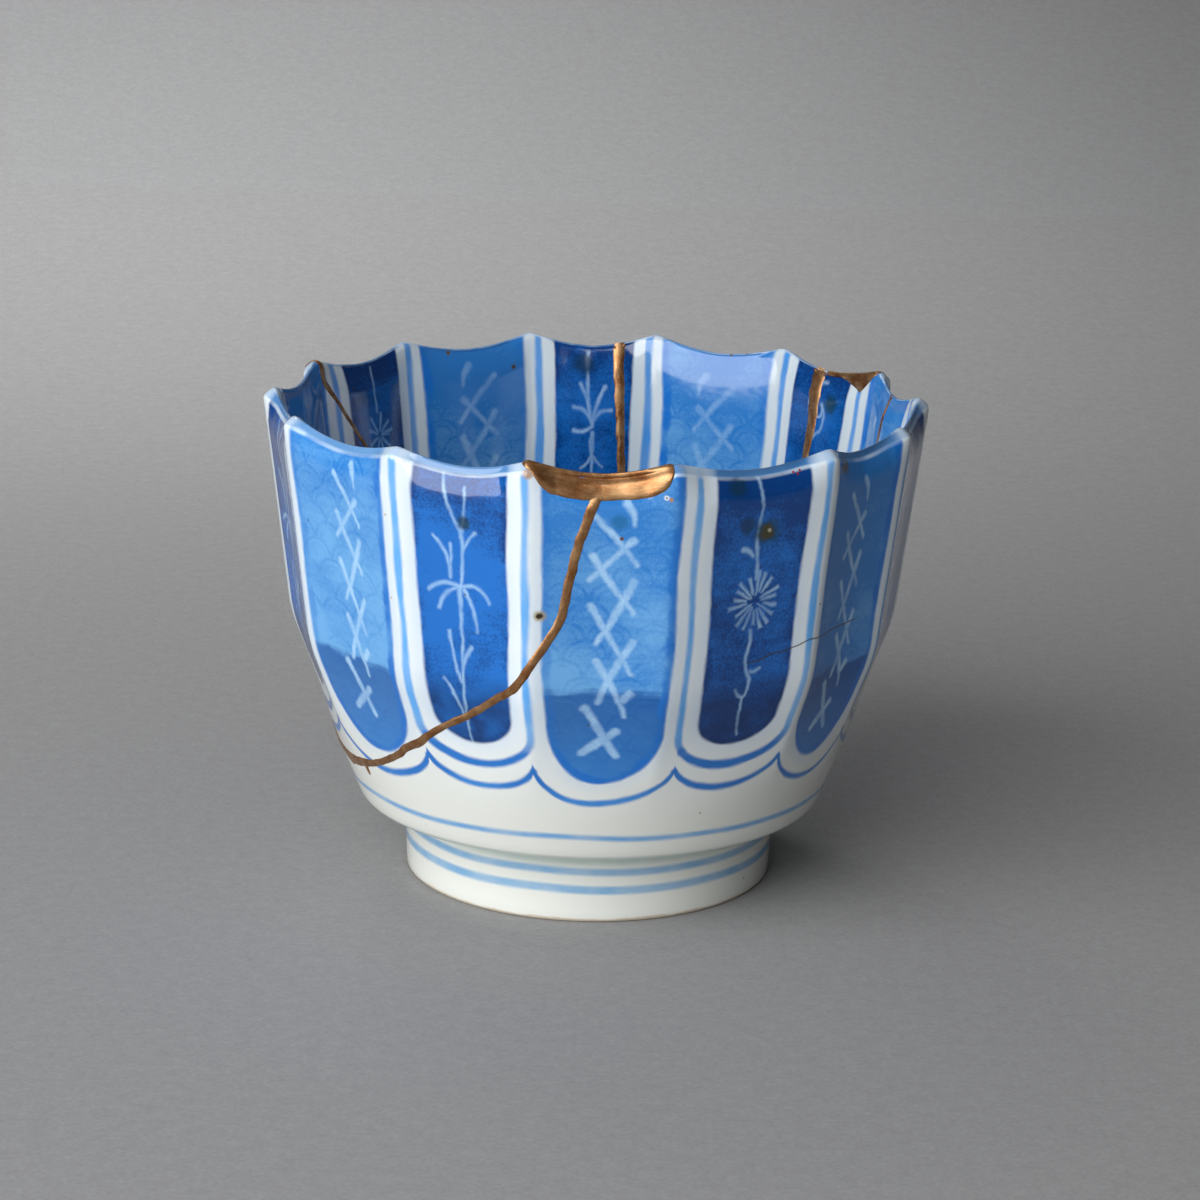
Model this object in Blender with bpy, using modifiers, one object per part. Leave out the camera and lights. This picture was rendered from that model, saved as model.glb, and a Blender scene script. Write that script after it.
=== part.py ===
"""A small fluted porcelain cup on a foot ring, broken once and mended with gold seams and rim fills.

Metres, +Z up. The origin is the centre of the foot's underside. Angles are degrees round the cup from its
front (-Y), growing to the right (+X). Radii are measured at the ridges between the flutes.
"""

import bisect
import math

import bmesh
import bpy
from mathutils import Matrix, Vector

# Outside of the vessel
CUP_HEIGHT = 0.0600
LIP_RADIUS = 0.04045
LIP_OUTER_DROP = 0.0011
SHOULDER_HEIGHT = 0.0320
SHOULDER_RADIUS = 0.0372
BELLY_EDGE_HEIGHT = 0.0098
BELLY_EDGE_RADIUS = 0.0285
UNDERCUT_RISE = 0.0003

# Walls and inside
LIP_WALL = 0.0022
SHOULDER_WALL = 0.0026
BELLY_WALL = 0.0030
LIP_INNER_DROP = 0.0006
LIP_CREST_SHARE = 0.62
FLOOR_THICKNESS = 0.0040

# Foot ring
FOOT_RADIUS = 0.0230
FOOT_TAPER = 0.0003
FOOT_RIM_WIDTH = 0.0026
FOOT_RECESS_TAPER = 0.0008
RECESS_HEIGHT = 0.0088
RECESS_DOME = 0.0003

# Fillets of the turned outline
FLOOR_FILLET = 0.0100
SHOULDER_FILLET = 0.0160
LIP_FILLET = 0.0006
BELLY_EDGE_FILLET = 0.0016
FOOT_TOP_FILLET = 0.0007
FOOT_RIM_FILLET = 0.0004
RECESS_FILLET = 0.0015
ROW_HEIGHT = 0.0090
# A fillet takes no more than this share of the shorter run beside it
FILLET_SHARE = 0.45

# Flutes
FLUTES = 14
COLUMNS_PER_FLUTE = 6
FLUTE_DEPTH = 0.0013
FLUTE_START = 0.0160
FLUTE_FULL = 0.0330
RIM_DIP = 0.0015
RIM_DIP_START = 0.0440
PATTERN_TURN = 1.4
# How far each hand-cut ridge strays from even spacing, from the ridge left of the front flute on round
RIDGE_DRIFT = (0.5, -0.9, 2.5, -0.7, 0.0, -2.8, -1.1, 0.3, -0.6, 0.6, 0.4, 0.0, -0.9, 2.6)

# Gold seams: a low bead that stands in a groove along each join
SEAM_WIDTH = 0.0013
SEAM_PROUD = 0.00018
SEAM_DEPTH = 0.00030
BRANCH_DEPTH = 0.00020
SEAM_FOOT_SHARE = 0.6
GROOVE_FOOT_SHARE = 0.75
SEAM_STEP = 0.0042
LIP_STEP = 0.0009
FIT_GAP = 0.0003
GROOVE_RUN_OUT = 0.0006
GROOVE_CLEAR = 0.0008

# Gold fills in the rim
FILL_PROUD = 0.00022
FILL_BAND_HEIGHT = 0.0090
FRONT_FILL_ANGLE = 1.2
FRONT_FILL_WIDTH = 0.0162
FRONT_FILL_DEPTH = 0.0041
FRONT_FILL_STEPS = 12
FRONT_FILL_FLATNESS = 0.84
REAR_FILL_ANGLE = 120.0
REAR_FILL_WIDTH_BEFORE = 0.0030
REAR_FILL_APEX = -0.0013
REAR_FILL_DEPTH = 0.0033
REAR_LINE_START = 124.2
REAR_LINE_END = 128.6
REAR_LINE_STEPS = 3
REAR_LINE_DROP = 0.0005
FILL_CUT_THICKNESS = 0.0130
FILL_CUT_TOP = 0.0020

# How close points are merged, and how far apart the wall is probed for its slope
MERGE = 0.00001
PROBE = 0.0003

# The wall's two faces. Each seam on them is a chain of (angle, % of cup height, share of the seam width).
OUTSIDE = 1
INSIDE = -1
FRONT_SEAM_OUTSIDE = (
    (0.2, 92.0, 1.1), (-2.0, 85.8, 1.05), (-4.2, 75.8, 1.0), (-5.2, 69.2, 1.0), (-9.0, 62.0, 0.95),
    (-13.3, 55.0, 0.95), (-18.7, 50.7, 0.9), (-24.8, 46.5, 0.9), (-30.8, 43.2, 0.85), (-35.2, 39.7, 1.0),
    (-40.5, 37.0, 1.0), (-45.0, 33.8, 0.9), (-50.0, 31.5, 0.85), (-56.7, 30.0, 0.85), (-64.0, 28.8, 1.0),
    (-72.0, 28.2, 1.2), (-84.0, 30.3, 0.9), (-94.0, 34.2, 0.85), (-103.0, 40.8, 0.85), (-108.5, 51.7, 0.85),
    (-111.0, 65.0, 0.85), (-113.5, 80.0, 0.9), (-114.2, 94.2, 1.1),
)
FRONT_SEAM_INSIDE = (
    (-114.6, 95.0, 1.0), (-117.5, 91.0, 0.6), (-121.5, 84.2, 0.55), (-125.6, 77.5, 0.55), (-127.0, 66.7, 0.6),
    (-121.0, 53.3, 0.7), (-108.0, 43.3, 0.8), (-92.0, 36.7, 0.8), (-74.0, 32.7, 0.8), (-56.0, 34.3, 0.8),
    (-38.0, 40.7, 0.8), (-22.0, 49.3, 0.8), (-11.0, 60.0, 0.8), (-5.0, 72.5, 0.85), (-1.0, 85.0, 0.9),
    (0.2, 92.0, 1.0),
)
FRONT_FORK = ((-56.0, 30.2, 0.8), (-59.5, 27.2, 0.6), (-57.0, 24.3, 0.3))
BACK_SEAM_INSIDE = (
    (173.4, 36.7, 0.5), (172.6, 50.0, 0.7), (174.6, 70.0, 0.8), (175.3, 83.3, 0.85), (175.9, 95.8, 0.95),
)
BACK_SEAM_OUTSIDE = (
    (175.9, 95.0, 0.95), (175.0, 78.3, 0.9), (171.5, 61.7, 0.85), (166.0, 49.2, 0.8), (158.5, 40.8, 0.7),
)
RIGHT_SEAM_INSIDE = (
    (134.0, 50.0, 0.5), (131.6, 63.3, 0.65), (130.6, 78.3, 0.75), (130.3, 86.7, 0.95), (130.9, 95.8, 1.35),
)
RIGHT_SEAM_OUTSIDE = (
    (130.9, 95.0, 1.1), (131.8, 81.7, 0.9), (136.5, 64.2, 0.85), (144.0, 50.0, 0.8), (152.0, 42.7, 0.7),
)
SHORT_SEAM_INSIDE = ((105.4, 78.3, 0.3), (105.0, 87.5, 0.4), (104.4, 96.0, 0.5))
SHORT_SEAM_OUTSIDE = ((104.0, 95.7, 0.5), (103.2, 86.7, 0.45), (104.0, 75.0, 0.3))

PORCELAIN = ("porcelain", (0.74, 0.80, 0.88), 0.12, 0.0)
GOLD = ("gold lacquer", (0.42, 0.24, 0.11), 0.34, 0.85)


def clear_scene():
    for obj in list(bpy.data.objects):
        bpy.data.objects.remove(obj, do_unlink=True)


def new_collection(name, hidden):
    collection = bpy.data.collections.new(name)
    collection.hide_render = hidden
    bpy.context.scene.collection.children.link(collection)
    return collection


def new_material(name, colour, roughness, metallic):
    material = bpy.data.materials.new(name)
    material.use_nodes = True
    shader = material.node_tree.nodes["Principled BSDF"]
    shader.inputs["Base Color"].default_value = (*colour, 1.0)
    shader.inputs["Roughness"].default_value = roughness
    shader.inputs["Metallic"].default_value = metallic
    material.diffuse_color = (*colour, 1.0)
    return material


def new_object(name, mesh, collection, material=None):
    obj = bpy.data.objects.new(name, mesh)
    collection.objects.link(obj)
    if material:
        mesh.materials.append(material)
    if collection.hide_render:
        obj.hide_render = True
        obj.display_type = "WIRE"
    return obj


def evaluated_mesh(obj):
    return bpy.data.meshes.new_from_object(obj.evaluated_get(bpy.context.evaluated_depsgraph_get()))


# The turned outline


def fillet(before, corner, after, size, steps):
    """Points of an arc that rounds a corner between two straight runs."""
    corner = Vector(corner)
    back = (Vector(before) - corner).normalized()
    ahead = (Vector(after) - corner).normalized()
    half = back.angle(ahead) / 2
    shorter = min((Vector(before) - corner).length, (Vector(after) - corner).length)
    reach = min(size / math.tan(half), FILLET_SHARE * shorter)
    radius = reach * math.tan(half)
    centre = corner + (back + ahead).normalized() * radius / math.sin(half)
    start = corner + back * reach - centre
    sweep = start.angle_signed(corner + ahead * reach - centre)
    return [centre + Matrix.Rotation(-sweep * i / steps, 2) @ start for i in range(steps + 1)]


def round_corners(corners):
    """Corners are (radius, height, fillet size, fillet steps), and a size of 0 keeps the corner."""
    points = []
    for i, (radius, height, size, steps) in enumerate(corners):
        if size == 0:
            points.append(Vector((radius, height)))
            continue
        points += fillet(corners[i - 1][:2], (radius, height), corners[i + 1][:2], size, steps)
    return points


def add_rows(points):
    """Divides the tall straight runs, so that flutes and rim can bend them."""
    rows = [points[0]]
    for before, after in zip(points, points[1:]):
        parts = max(1, math.ceil(abs(after.y - before.y) / ROW_HEIGHT))
        rows += [before.lerp(after, i / parts) for i in range(1, parts + 1)]
    return rows


def wall_corners():
    """The wall's outline from the floor up the inside, over the lip and down to the belly's lower edge."""
    floor_height = RECESS_HEIGHT + FLOOR_THICKNESS
    lip_inner = LIP_RADIUS - LIP_WALL
    slope = (SHOULDER_RADIUS - BELLY_EDGE_RADIUS) / (SHOULDER_HEIGHT - BELLY_EDGE_HEIGHT)
    floor_edge = BELLY_EDGE_RADIUS + slope * (floor_height - BELLY_EDGE_HEIGHT) - BELLY_WALL
    return [
        (floor_edge, floor_height, FLOOR_FILLET, 4),
        (SHOULDER_RADIUS - SHOULDER_WALL, SHOULDER_HEIGHT, SHOULDER_FILLET, 2),
        (lip_inner, CUP_HEIGHT - LIP_INNER_DROP, LIP_FILLET, 1),
        (lip_inner + (1 - LIP_CREST_SHARE) * LIP_WALL, CUP_HEIGHT, 0, 0),
        (LIP_RADIUS, CUP_HEIGHT - LIP_OUTER_DROP, LIP_FILLET, 2),
        (SHOULDER_RADIUS, SHOULDER_HEIGHT, SHOULDER_FILLET, 3),
        (BELLY_EDGE_RADIUS, BELLY_EDGE_HEIGHT, BELLY_EDGE_FILLET, 3),
    ]


def foot_corners():
    """The outline's rest: in under the belly, round the foot ring and across the recess."""
    rim_inner = FOOT_RADIUS - FOOT_TAPER - FOOT_RIM_WIDTH
    return [
        (FOOT_RADIUS, BELLY_EDGE_HEIGHT - UNDERCUT_RISE, FOOT_TOP_FILLET, 1),
        (FOOT_RADIUS - FOOT_TAPER, 0.0, FOOT_RIM_FILLET, 1),
        (rim_inner, 0.0, FOOT_RIM_FILLET, 1),
        (rim_inner - FOOT_RECESS_TAPER, RECESS_HEIGHT, RECESS_FILLET, 1),
        (0.0, RECESS_HEIGHT + RECESS_DOME, 0, 0),
    ]


def vessel_outline():
    floor_centre = (0.0, RECESS_HEIGHT + FLOOR_THICKNESS, 0, 0)
    return add_rows(round_corners([floor_centre] + wall_corners() + foot_corners()))


def crest_index(points):
    return max(range(len(points)), key=lambda i: points[i].y)


class WallPath:
    """The vessel's outline by distance from the lip's crest: outside is positive, inside is negative."""

    def __init__(self, points):
        crest = crest_index(points)
        self.points = points
        self.reach = [0.0]
        for before, after in zip(points, points[1:]):
            self.reach.append(self.reach[-1] + (after - before).length)
        self.reach = [reach - self.reach[crest] for reach in self.reach]
        self.outside = [i for i in range(crest, len(points)) if points[i].y > BELLY_EDGE_HEIGHT]
        self.inside = [i for i in range(crest, 0, -1) if points[i].x > 0]

    def at(self, distance):
        i = min(max(bisect.bisect_right(self.reach, distance) - 1, 0), len(self.points) - 2)
        share = (distance - self.reach[i]) / (self.reach[i + 1] - self.reach[i])
        return self.points[i].lerp(self.points[i + 1], share)

    def distance(self, height, face):
        """The distance at which one face of the wall has this height."""
        run = self.outside if face == OUTSIDE else self.inside
        for above, below in zip(run, run[1:]):
            top = self.points[above].y
            bottom = self.points[below].y
            if bottom <= height <= top and top > bottom:
                share = (top - height) / (top - bottom)
                return self.reach[above] + share * (self.reach[below] - self.reach[above])
        return self.reach[run[-1]]


# Flutes


def smooth_ramp(value, start, full):
    share = min(max((value - start) / (full - start), 0.0), 1.0)
    return share * share * (3 - 2 * share)


def ridge_angle(index):
    """The angle of a ridge, counted from the one left of the front flute."""
    return (index - 0.5) * 360 / FLUTES + PATTERN_TURN + RIDGE_DRIFT[index % len(RIDGE_DRIFT)]


def carved(place, flute, across):
    """Where a point (radius, height) of the turned outline ends up in a flute, from -1 to 1 across it."""
    hollow = 1 - across * across
    left = ridge_angle(flute)
    angle = math.radians(left + (ridge_angle(flute + 1) - left) * (across + 1) / 2)
    radius = place.x - FLUTE_DEPTH * smooth_ramp(place.y, FLUTE_START, FLUTE_FULL) * hollow
    height = place.y - RIM_DIP * smooth_ramp(place.y, RIM_DIP_START, CUP_HEIGHT) * hollow
    return Vector((radius * math.sin(angle), -radius * math.cos(angle), height))


def flute_at(angle):
    """The flute that holds an angle, and how far across it the angle lies."""
    flute = math.floor((angle - PATTERN_TURN) * FLUTES / 360 + 0.5)
    while ridge_angle(flute + 1) < angle:
        flute += 1
    while ridge_angle(flute) > angle:
        flute -= 1
    left = ridge_angle(flute)
    return flute, 2 * (angle - left) / (ridge_angle(flute + 1) - left) - 1


def surface_point(wall, angle, distance):
    flute, across = flute_at(angle)
    return carved(wall.at(distance), flute, across)


def surface_normal(wall, angle, distance):
    turn = math.degrees(PROBE / SHOULDER_RADIUS)
    round_cup = surface_point(wall, angle + turn, distance) - surface_point(wall, angle - turn, distance)
    down_wall = surface_point(wall, angle, distance + PROBE) - surface_point(wall, angle, distance - PROBE)
    return down_wall.cross(round_cup).normalized()


def turned_and_fluted(name, outline, closed, collection, material=None):
    """Turns an outline with a Screw, then moves every point of the blank into its flute."""
    mesh = bpy.data.meshes.new(name)
    edges = [(i, i + 1) for i in range(len(outline) - 1)]
    if closed:
        edges.append((len(outline) - 1, 0))
    mesh.from_pydata([(point.x, 0.0, point.y) for point in outline], edges, [])
    blank = new_object(name, mesh, collection)
    screw = blank.modifiers.new("turn", "SCREW")
    screw.axis = "Z"
    screw.steps = FLUTES * COLUMNS_PER_FLUTE
    screw.render_steps = screw.steps
    screw.use_merge_vertices = True
    screw.merge_threshold = MERGE
    blank.data = evaluated_mesh(blank)
    blank.modifiers.clear()
    bpy.data.meshes.remove(mesh)

    shape = bmesh.new()
    shape.from_mesh(blank.data)
    bmesh.ops.remove_doubles(shape, verts=shape.verts, dist=MERGE)
    for vert in shape.verts:
        radius = math.hypot(vert.co.x, vert.co.y)
        if radius < 2 * MERGE:
            continue
        column = round(math.atan2(vert.co.y, vert.co.x) / math.tau * FLUTES * COLUMNS_PER_FLUTE)
        flute, step = divmod(column, COLUMNS_PER_FLUTE)
        vert.co = carved(Vector((radius, vert.co.z)), flute, 2 * step / COLUMNS_PER_FLUTE - 1)
    bmesh.ops.recalc_face_normals(shape, faces=shape.faces)
    shape.to_mesh(blank.data)
    shape.free()
    if material:
        blank.data.materials.append(material)
    return blank


# Seams


def height_before_dip(angle, height):
    """The height on the turned outline of a point that the rim's dip brings down to this height."""
    across = flute_at(angle)[1]
    turned = height
    for _ in range(6):
        turned = height + RIM_DIP * smooth_ramp(turned, RIM_DIP_START, CUP_HEIGHT) * (1 - across * across)
    return turned


def seam_stations(wall, *runs):
    """Joins runs of (face, chain) into (angle, distance, width share) stations."""
    stations = []
    for face, chain in runs:
        for angle, height, share in chain:
            turned = height_before_dip(angle, height / 100 * CUP_HEIGHT)
            stations.append((angle, wall.distance(turned, face), share))
    return stations


def between(before, after, share):
    return tuple(start + (end - start) * share for start, end in zip(before, after))


def split_at_ridges(stations):
    """Adds a station wherever the seam crosses a ridge, so that it climbs over it."""
    split = [stations[0]]
    for before, after in zip(stations, stations[1:]):
        turn = after[0] - before[0]
        ridges = [ridge_angle(i) for i in range(-FLUTES, FLUTES + 1)]
        shares = [(ridge - before[0]) / turn for ridge in ridges] if turn else []
        split += [between(before, after, share) for share in sorted(shares) if 0.02 < share < 0.98]
        split.append(after)
    return split


def seam_samples(stations, run_out):
    """Places along the seam, closer together over the lip, with both ends run out a little."""
    samples = []
    stations = split_at_ridges(stations)
    for before, after in zip(stations, stations[1:]):
        length = math.hypot(math.radians(after[0] - before[0]) * SHOULDER_RADIUS, after[1] - before[1])
        over_lip = before[1] * after[1] < 0
        steps = max(1, round(length / (LIP_STEP if over_lip else SEAM_STEP)))
        samples += [between(before, after, i / steps) for i in range(steps)]
    samples.append(stations[-1])
    for end, inner in ((0, 1), (-1, -2)):
        ahead = math.radians(samples[end][0] - samples[inner][0]) * SHOULDER_RADIUS
        length = math.hypot(ahead, samples[end][1] - samples[inner][1])
        angle, distance, _ = between(samples[inner], samples[end], 1 + run_out / length)
        samples[end] = (angle, distance, samples[end][2])
    return samples


def seam_section(half_width, depth, grown):
    """The bead's section as (across, above the surface), or its groove's where grown is above 0."""
    if grown == 0:
        return [
            (-half_width, 0.0),
            (0.0, SEAM_PROUD),
            (half_width, 0.0),
            (SEAM_FOOT_SHARE * half_width, -depth),
            (-SEAM_FOOT_SHARE * half_width, -depth),
        ]
    top = half_width + grown
    bottom = GROOVE_FOOT_SHARE * half_width + grown
    floor = -depth - grown
    return [(-top, GROOVE_CLEAR), (top, GROOVE_CLEAR), (bottom, floor), (-bottom, floor)]


def seam_strip(name, wall, stations, depth, collection, grown=0.0, run_out=0.0):
    """Lofts the section along the wall, square to its surface, and closes both ends."""
    shape = bmesh.new()
    rings = []
    samples = seam_samples(stations, run_out)
    middles = [surface_point(wall, angle, distance) for angle, distance, _ in samples]
    for i, (angle, distance, share) in enumerate(samples):
        normal = surface_normal(wall, angle, distance)
        along = middles[min(i + 1, len(middles) - 1)] - middles[max(i - 1, 0)]
        across = along.cross(normal).normalized()
        section = seam_section(share * SEAM_WIDTH / 2, depth, grown)
        rings.append([shape.verts.new(middles[i] + across * side + normal * up) for side, up in section])
    for ring, following in zip(rings, rings[1:]):
        for j in range(len(ring)):
            k = (j + 1) % len(ring)
            shape.faces.new((ring[j], ring[k], following[k], following[j]))
    shape.faces.new(rings[0][::-1])
    shape.faces.new(rings[-1])
    bmesh.ops.recalc_face_normals(shape, faces=shape.faces)
    mesh = bpy.data.meshes.new(name)
    shape.to_mesh(mesh)
    shape.free()
    return new_object(name, mesh, collection)


# Rim fills


def fill_band_outline(outline):
    """The top of the wall, grown a little all round, for a fill to take its faces from."""
    bottom = CUP_HEIGHT - FILL_BAND_HEIGHT
    rim = [i for i in range(1, len(outline) - 1) if outline[i].y > bottom and outline[i].x > LIP_RADIUS / 2]
    grown = []
    for i in rim:
        run = (outline[i + 1] - outline[i - 1]).normalized()
        grown.append(outline[i] + Vector((-run.y, run.x)) * FILL_PROUD)
    inner = Vector((grown[0].x, bottom))
    outer = Vector((grown[-1].x, bottom))
    return [inner] + grown + [outer]


def fill_cutter(name, outline, angle, radius, collection, grown=0.0):
    """A prism through the wall, from a flat outline of (sideways, height) that is grown by a gap."""
    curve = bpy.data.curves.new(name, "CURVE")
    curve.dimensions = "2D"
    curve.fill_mode = "BOTH"
    curve.extrude = FILL_CUT_THICKNESS / 2
    spline = curve.splines.new("POLY")
    spline.points.add(len(outline) - 1)
    spline.use_cyclic_u = True
    for point, place in zip(spline.points, grown_outline(outline, grown)):
        point.co = (place.x, place.y, 0.0, 1.0)
    flat = bpy.data.objects.new(name, curve)
    collection.objects.link(flat)
    mesh = evaluated_mesh(flat)
    bpy.data.objects.remove(flat)
    upright = Matrix.Rotation(math.radians(angle), 4, "Z") @ Matrix.Translation((0, -radius, 0))
    mesh.transform(upright @ Matrix.Rotation(math.radians(90), 4, "X"))
    shape = bmesh.new()
    shape.from_mesh(mesh)
    bmesh.ops.remove_doubles(shape, verts=shape.verts, dist=MERGE / 10)
    bmesh.ops.recalc_face_normals(shape, faces=shape.faces)
    shape.to_mesh(mesh)
    shape.free()
    return new_object(name, mesh, collection)


def grown_outline(outline, gap):
    """Moves each point of an anticlockwise outline outwards, square to its neighbours."""
    grown = []
    for i, point in enumerate(outline):
        back = (point - outline[i - 1]).normalized()
        ahead = (outline[(i + 1) % len(outline)] - point).normalized()
        outward = Vector((back.y + ahead.y, -back.x - ahead.x)).normalized()
        square = outward.dot(Vector((back.y, -back.x)))
        grown.append(point + outward * gap / max(square, 0.5))
    return grown


def front_fill_outline():
    """A shallow bowl shape below the rim: a flattened half ellipse, closed above the rim."""
    half = FRONT_FILL_WIDTH / 2
    points = [Vector((half, CUP_HEIGHT + FILL_CUT_TOP)), Vector((-half, CUP_HEIGHT + FILL_CUT_TOP))]
    for i in range(FRONT_FILL_STEPS + 1):
        turn = math.pi * (1 + i / FRONT_FILL_STEPS)
        drop = FRONT_FILL_DEPTH * abs(math.sin(turn)) ** FRONT_FILL_FLATNESS
        points.append(Vector((half * math.cos(turn), CUP_HEIGHT - drop)))
    return points


def rear_fill_outline(wall):
    """A triangle below the rim, with a thin tongue along the crest on its far side."""
    tongue = []
    for i in range(REAR_LINE_STEPS + 1):
        angle = REAR_LINE_START + (REAR_LINE_END - REAR_LINE_START) * i / REAR_LINE_STEPS
        crest = surface_point(wall, angle, 0.0)
        sideways = crest.xy.length * math.sin(math.radians(angle - REAR_FILL_ANGLE))
        tongue.append(Vector((sideways, crest.z - REAR_LINE_DROP)))
    top = CUP_HEIGHT + FILL_CUT_TOP
    return [
        Vector((tongue[-1].x, top)),
        Vector((-REAR_FILL_WIDTH_BEFORE, top)),
        Vector((-REAR_FILL_WIDTH_BEFORE, CUP_HEIGHT - REAR_LINE_DROP)),
        Vector((REAR_FILL_APEX, CUP_HEIGHT - REAR_FILL_DEPTH)),
    ] + tongue


def boolean(obj, operation, other):
    modifier = obj.modifiers.new(f"{operation.lower()} {other.name}", "BOOLEAN")
    modifier.operation = operation
    modifier.solver = "EXACT"
    modifier.use_self = True
    modifier.object = other


def shade_round(obj, crease):
    obj.data.shade_smooth()
    obj.data.set_sharp_from_angle(angle=math.radians(crease))


def main():
    clear_scene()
    cup = new_collection("kintsugi_sake_cup", hidden=False)
    cutters = new_collection("cutters", hidden=True)
    porcelain = new_material(*PORCELAIN)
    gold = new_material(*GOLD)

    outline = vessel_outline()
    wall = WallPath(outline)
    body = turned_and_fluted("cup_body", outline, False, cup, porcelain)
    band = turned_and_fluted("rim_band", fill_band_outline(outline), True, cutters)

    fills = (
        ("front_rim_fill", front_fill_outline(), FRONT_FILL_ANGLE),
        ("rear_rim_fill", rear_fill_outline(wall), REAR_FILL_ANGLE),
    )
    for name, shape, angle in fills:
        fill = fill_cutter(name, shape, angle, LIP_RADIUS, cup)
        fill.data.materials.append(gold)
        boolean(fill, "INTERSECT", band)
        notch = fill_cutter(name + "_notch", shape, angle, LIP_RADIUS, cutters, FIT_GAP)
        boolean(body, "DIFFERENCE", notch)

    seams = {
        "sherd_seam": [seam_stations(wall, (OUTSIDE, FRONT_SEAM_OUTSIDE), (INSIDE, FRONT_SEAM_INSIDE))],
        "back_seam": [seam_stations(wall, (INSIDE, BACK_SEAM_INSIDE), (OUTSIDE, BACK_SEAM_OUTSIDE))],
        "right_seam": [seam_stations(wall, (INSIDE, RIGHT_SEAM_INSIDE), (OUTSIDE, RIGHT_SEAM_OUTSIDE))],
        "short_seam": [seam_stations(wall, (INSIDE, SHORT_SEAM_INSIDE), (OUTSIDE, SHORT_SEAM_OUTSIDE))],
    }
    seams["sherd_seam"].append(seam_stations(wall, (OUTSIDE, FRONT_FORK)))
    for name, branches in seams.items():
        bead = seam_strip(name, wall, branches[0], SEAM_DEPTH, cup)
        bead.data.materials.append(gold)
        for i, stations in enumerate(branches):
            depth = BRANCH_DEPTH if i else SEAM_DEPTH
            groove = seam_strip(f"{name}_groove_{i}", wall, stations, depth, cutters, FIT_GAP, GROOVE_RUN_OUT)
            boolean(body, "DIFFERENCE", groove)
            if i:
                boolean(bead, "UNION", seam_strip(f"{name}_branch_{i}", wall, stations, depth, cutters))
    for obj in cup.objects:
        shade_round(obj, 40)


main()
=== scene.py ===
import bisect
import functools
import math

import bmesh
import bpy
from mathutils import Matrix, Vector, noise


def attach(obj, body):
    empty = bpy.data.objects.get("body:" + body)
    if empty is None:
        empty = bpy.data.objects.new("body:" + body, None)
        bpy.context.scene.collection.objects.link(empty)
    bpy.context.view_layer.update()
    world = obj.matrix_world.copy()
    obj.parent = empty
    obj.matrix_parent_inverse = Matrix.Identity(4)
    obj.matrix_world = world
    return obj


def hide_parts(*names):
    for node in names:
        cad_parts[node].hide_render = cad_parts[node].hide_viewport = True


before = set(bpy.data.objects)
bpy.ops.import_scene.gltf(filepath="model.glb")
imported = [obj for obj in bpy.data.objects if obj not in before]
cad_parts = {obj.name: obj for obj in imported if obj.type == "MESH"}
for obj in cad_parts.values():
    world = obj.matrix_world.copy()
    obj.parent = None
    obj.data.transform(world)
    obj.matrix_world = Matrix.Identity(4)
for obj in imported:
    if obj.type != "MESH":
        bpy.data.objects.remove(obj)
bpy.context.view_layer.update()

# Meshes are in metres and the paint is in millimetres. Angles are degrees round the cup from its front (-Y),
# growing to the right (+X). A wall's reach is the distance down from the lip's crest: outside is positive.


def mixed(a, b, share):
    return a + (b - a) * share


def ramp(value, start, full):  # 0 to 1, soft at both ends
    share = min(max((value - start) / (full - start), 0.0), 1.0)
    return share * share * (3 - 2 * share)


def finishMesh(bm, name, materials, crease=50):
    mesh = bpy.data.meshes.new(name)
    bm.to_mesh(mesh)
    bm.free()
    for material in materials:
        mesh.materials.append(material)
    mesh.shade_smooth()
    mesh.set_sharp_from_angle(angle=math.radians(crease))
    piece = bpy.data.objects.new(name, mesh)
    bpy.context.scene.collection.objects.link(piece)
    return piece


# The cup's turned outline and its flutes

cup = {
    "height": 0.0600,
    "lipRadius": 0.04045, "lipWall": 0.0022, "lipOuterDrop": 0.0011, "lipInnerDrop": 0.0006, "lipCrest": 0.62,
    "shoulder": (0.0372, 0.0320), "shoulderWall": 0.0026,
    "bellyEdge": (0.0285, 0.0098), "bellyWall": 0.0030,
    "footRadius": 0.0230, "footTaper": 0.0003, "footRim": 0.0026, "recessTaper": 0.0008,
    "undercutRise": 0.0003, "recessHeight": 0.0088, "recessDome": 0.0003, "floorThickness": 0.0040,
    # how far each face of the lip is pressed in between the ridges, from where and to where down the wall
    "outerLean": (0.0010, 0.0013, 0.0043), "innerLean": (0.00055, 0.0008, 0.0036),
    "leanStray": 0.00035, "leanFill": 1.8,
    "columnsPerFlute": 30, "rowHeight": 0.0010, "arcStep": 0.00035,
}
flutes = {
    "count": 14, "depth": 0.0013, "start": 0.0160, "full": 0.0330,
    "rimDip": 0.0015, "rimDipStart": 0.0440, "softness": 0.05,
    "turn": 1.4,
    # how far each hand-cut ridge strays from even spacing, from the ridge left of the front flute on round
    "drift": (0.5, -0.9, 2.5, -0.7, 0.0, -2.8, -1.1, 0.3, -0.6, 0.6, 0.4, 0.0, -0.9, 2.6),
}


def ridgeAngle(index):
    count = flutes["count"]
    return (index - 0.5) * 360 / count + flutes["turn"] + flutes["drift"][index % count]


@functools.cache
def acrossFlute(angle):  # -1 at the flute's left ridge, 1 at its right one
    flute = math.floor((angle - flutes["turn"]) * flutes["count"] / 360 + 0.5)
    while ridgeAngle(flute + 1) < angle:
        flute += 1
    while ridgeAngle(flute) > angle:
        flute -= 1
    return 2 * (angle - ridgeAngle(flute)) / (ridgeAngle(flute + 1) - ridgeAngle(flute)) - 1


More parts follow.
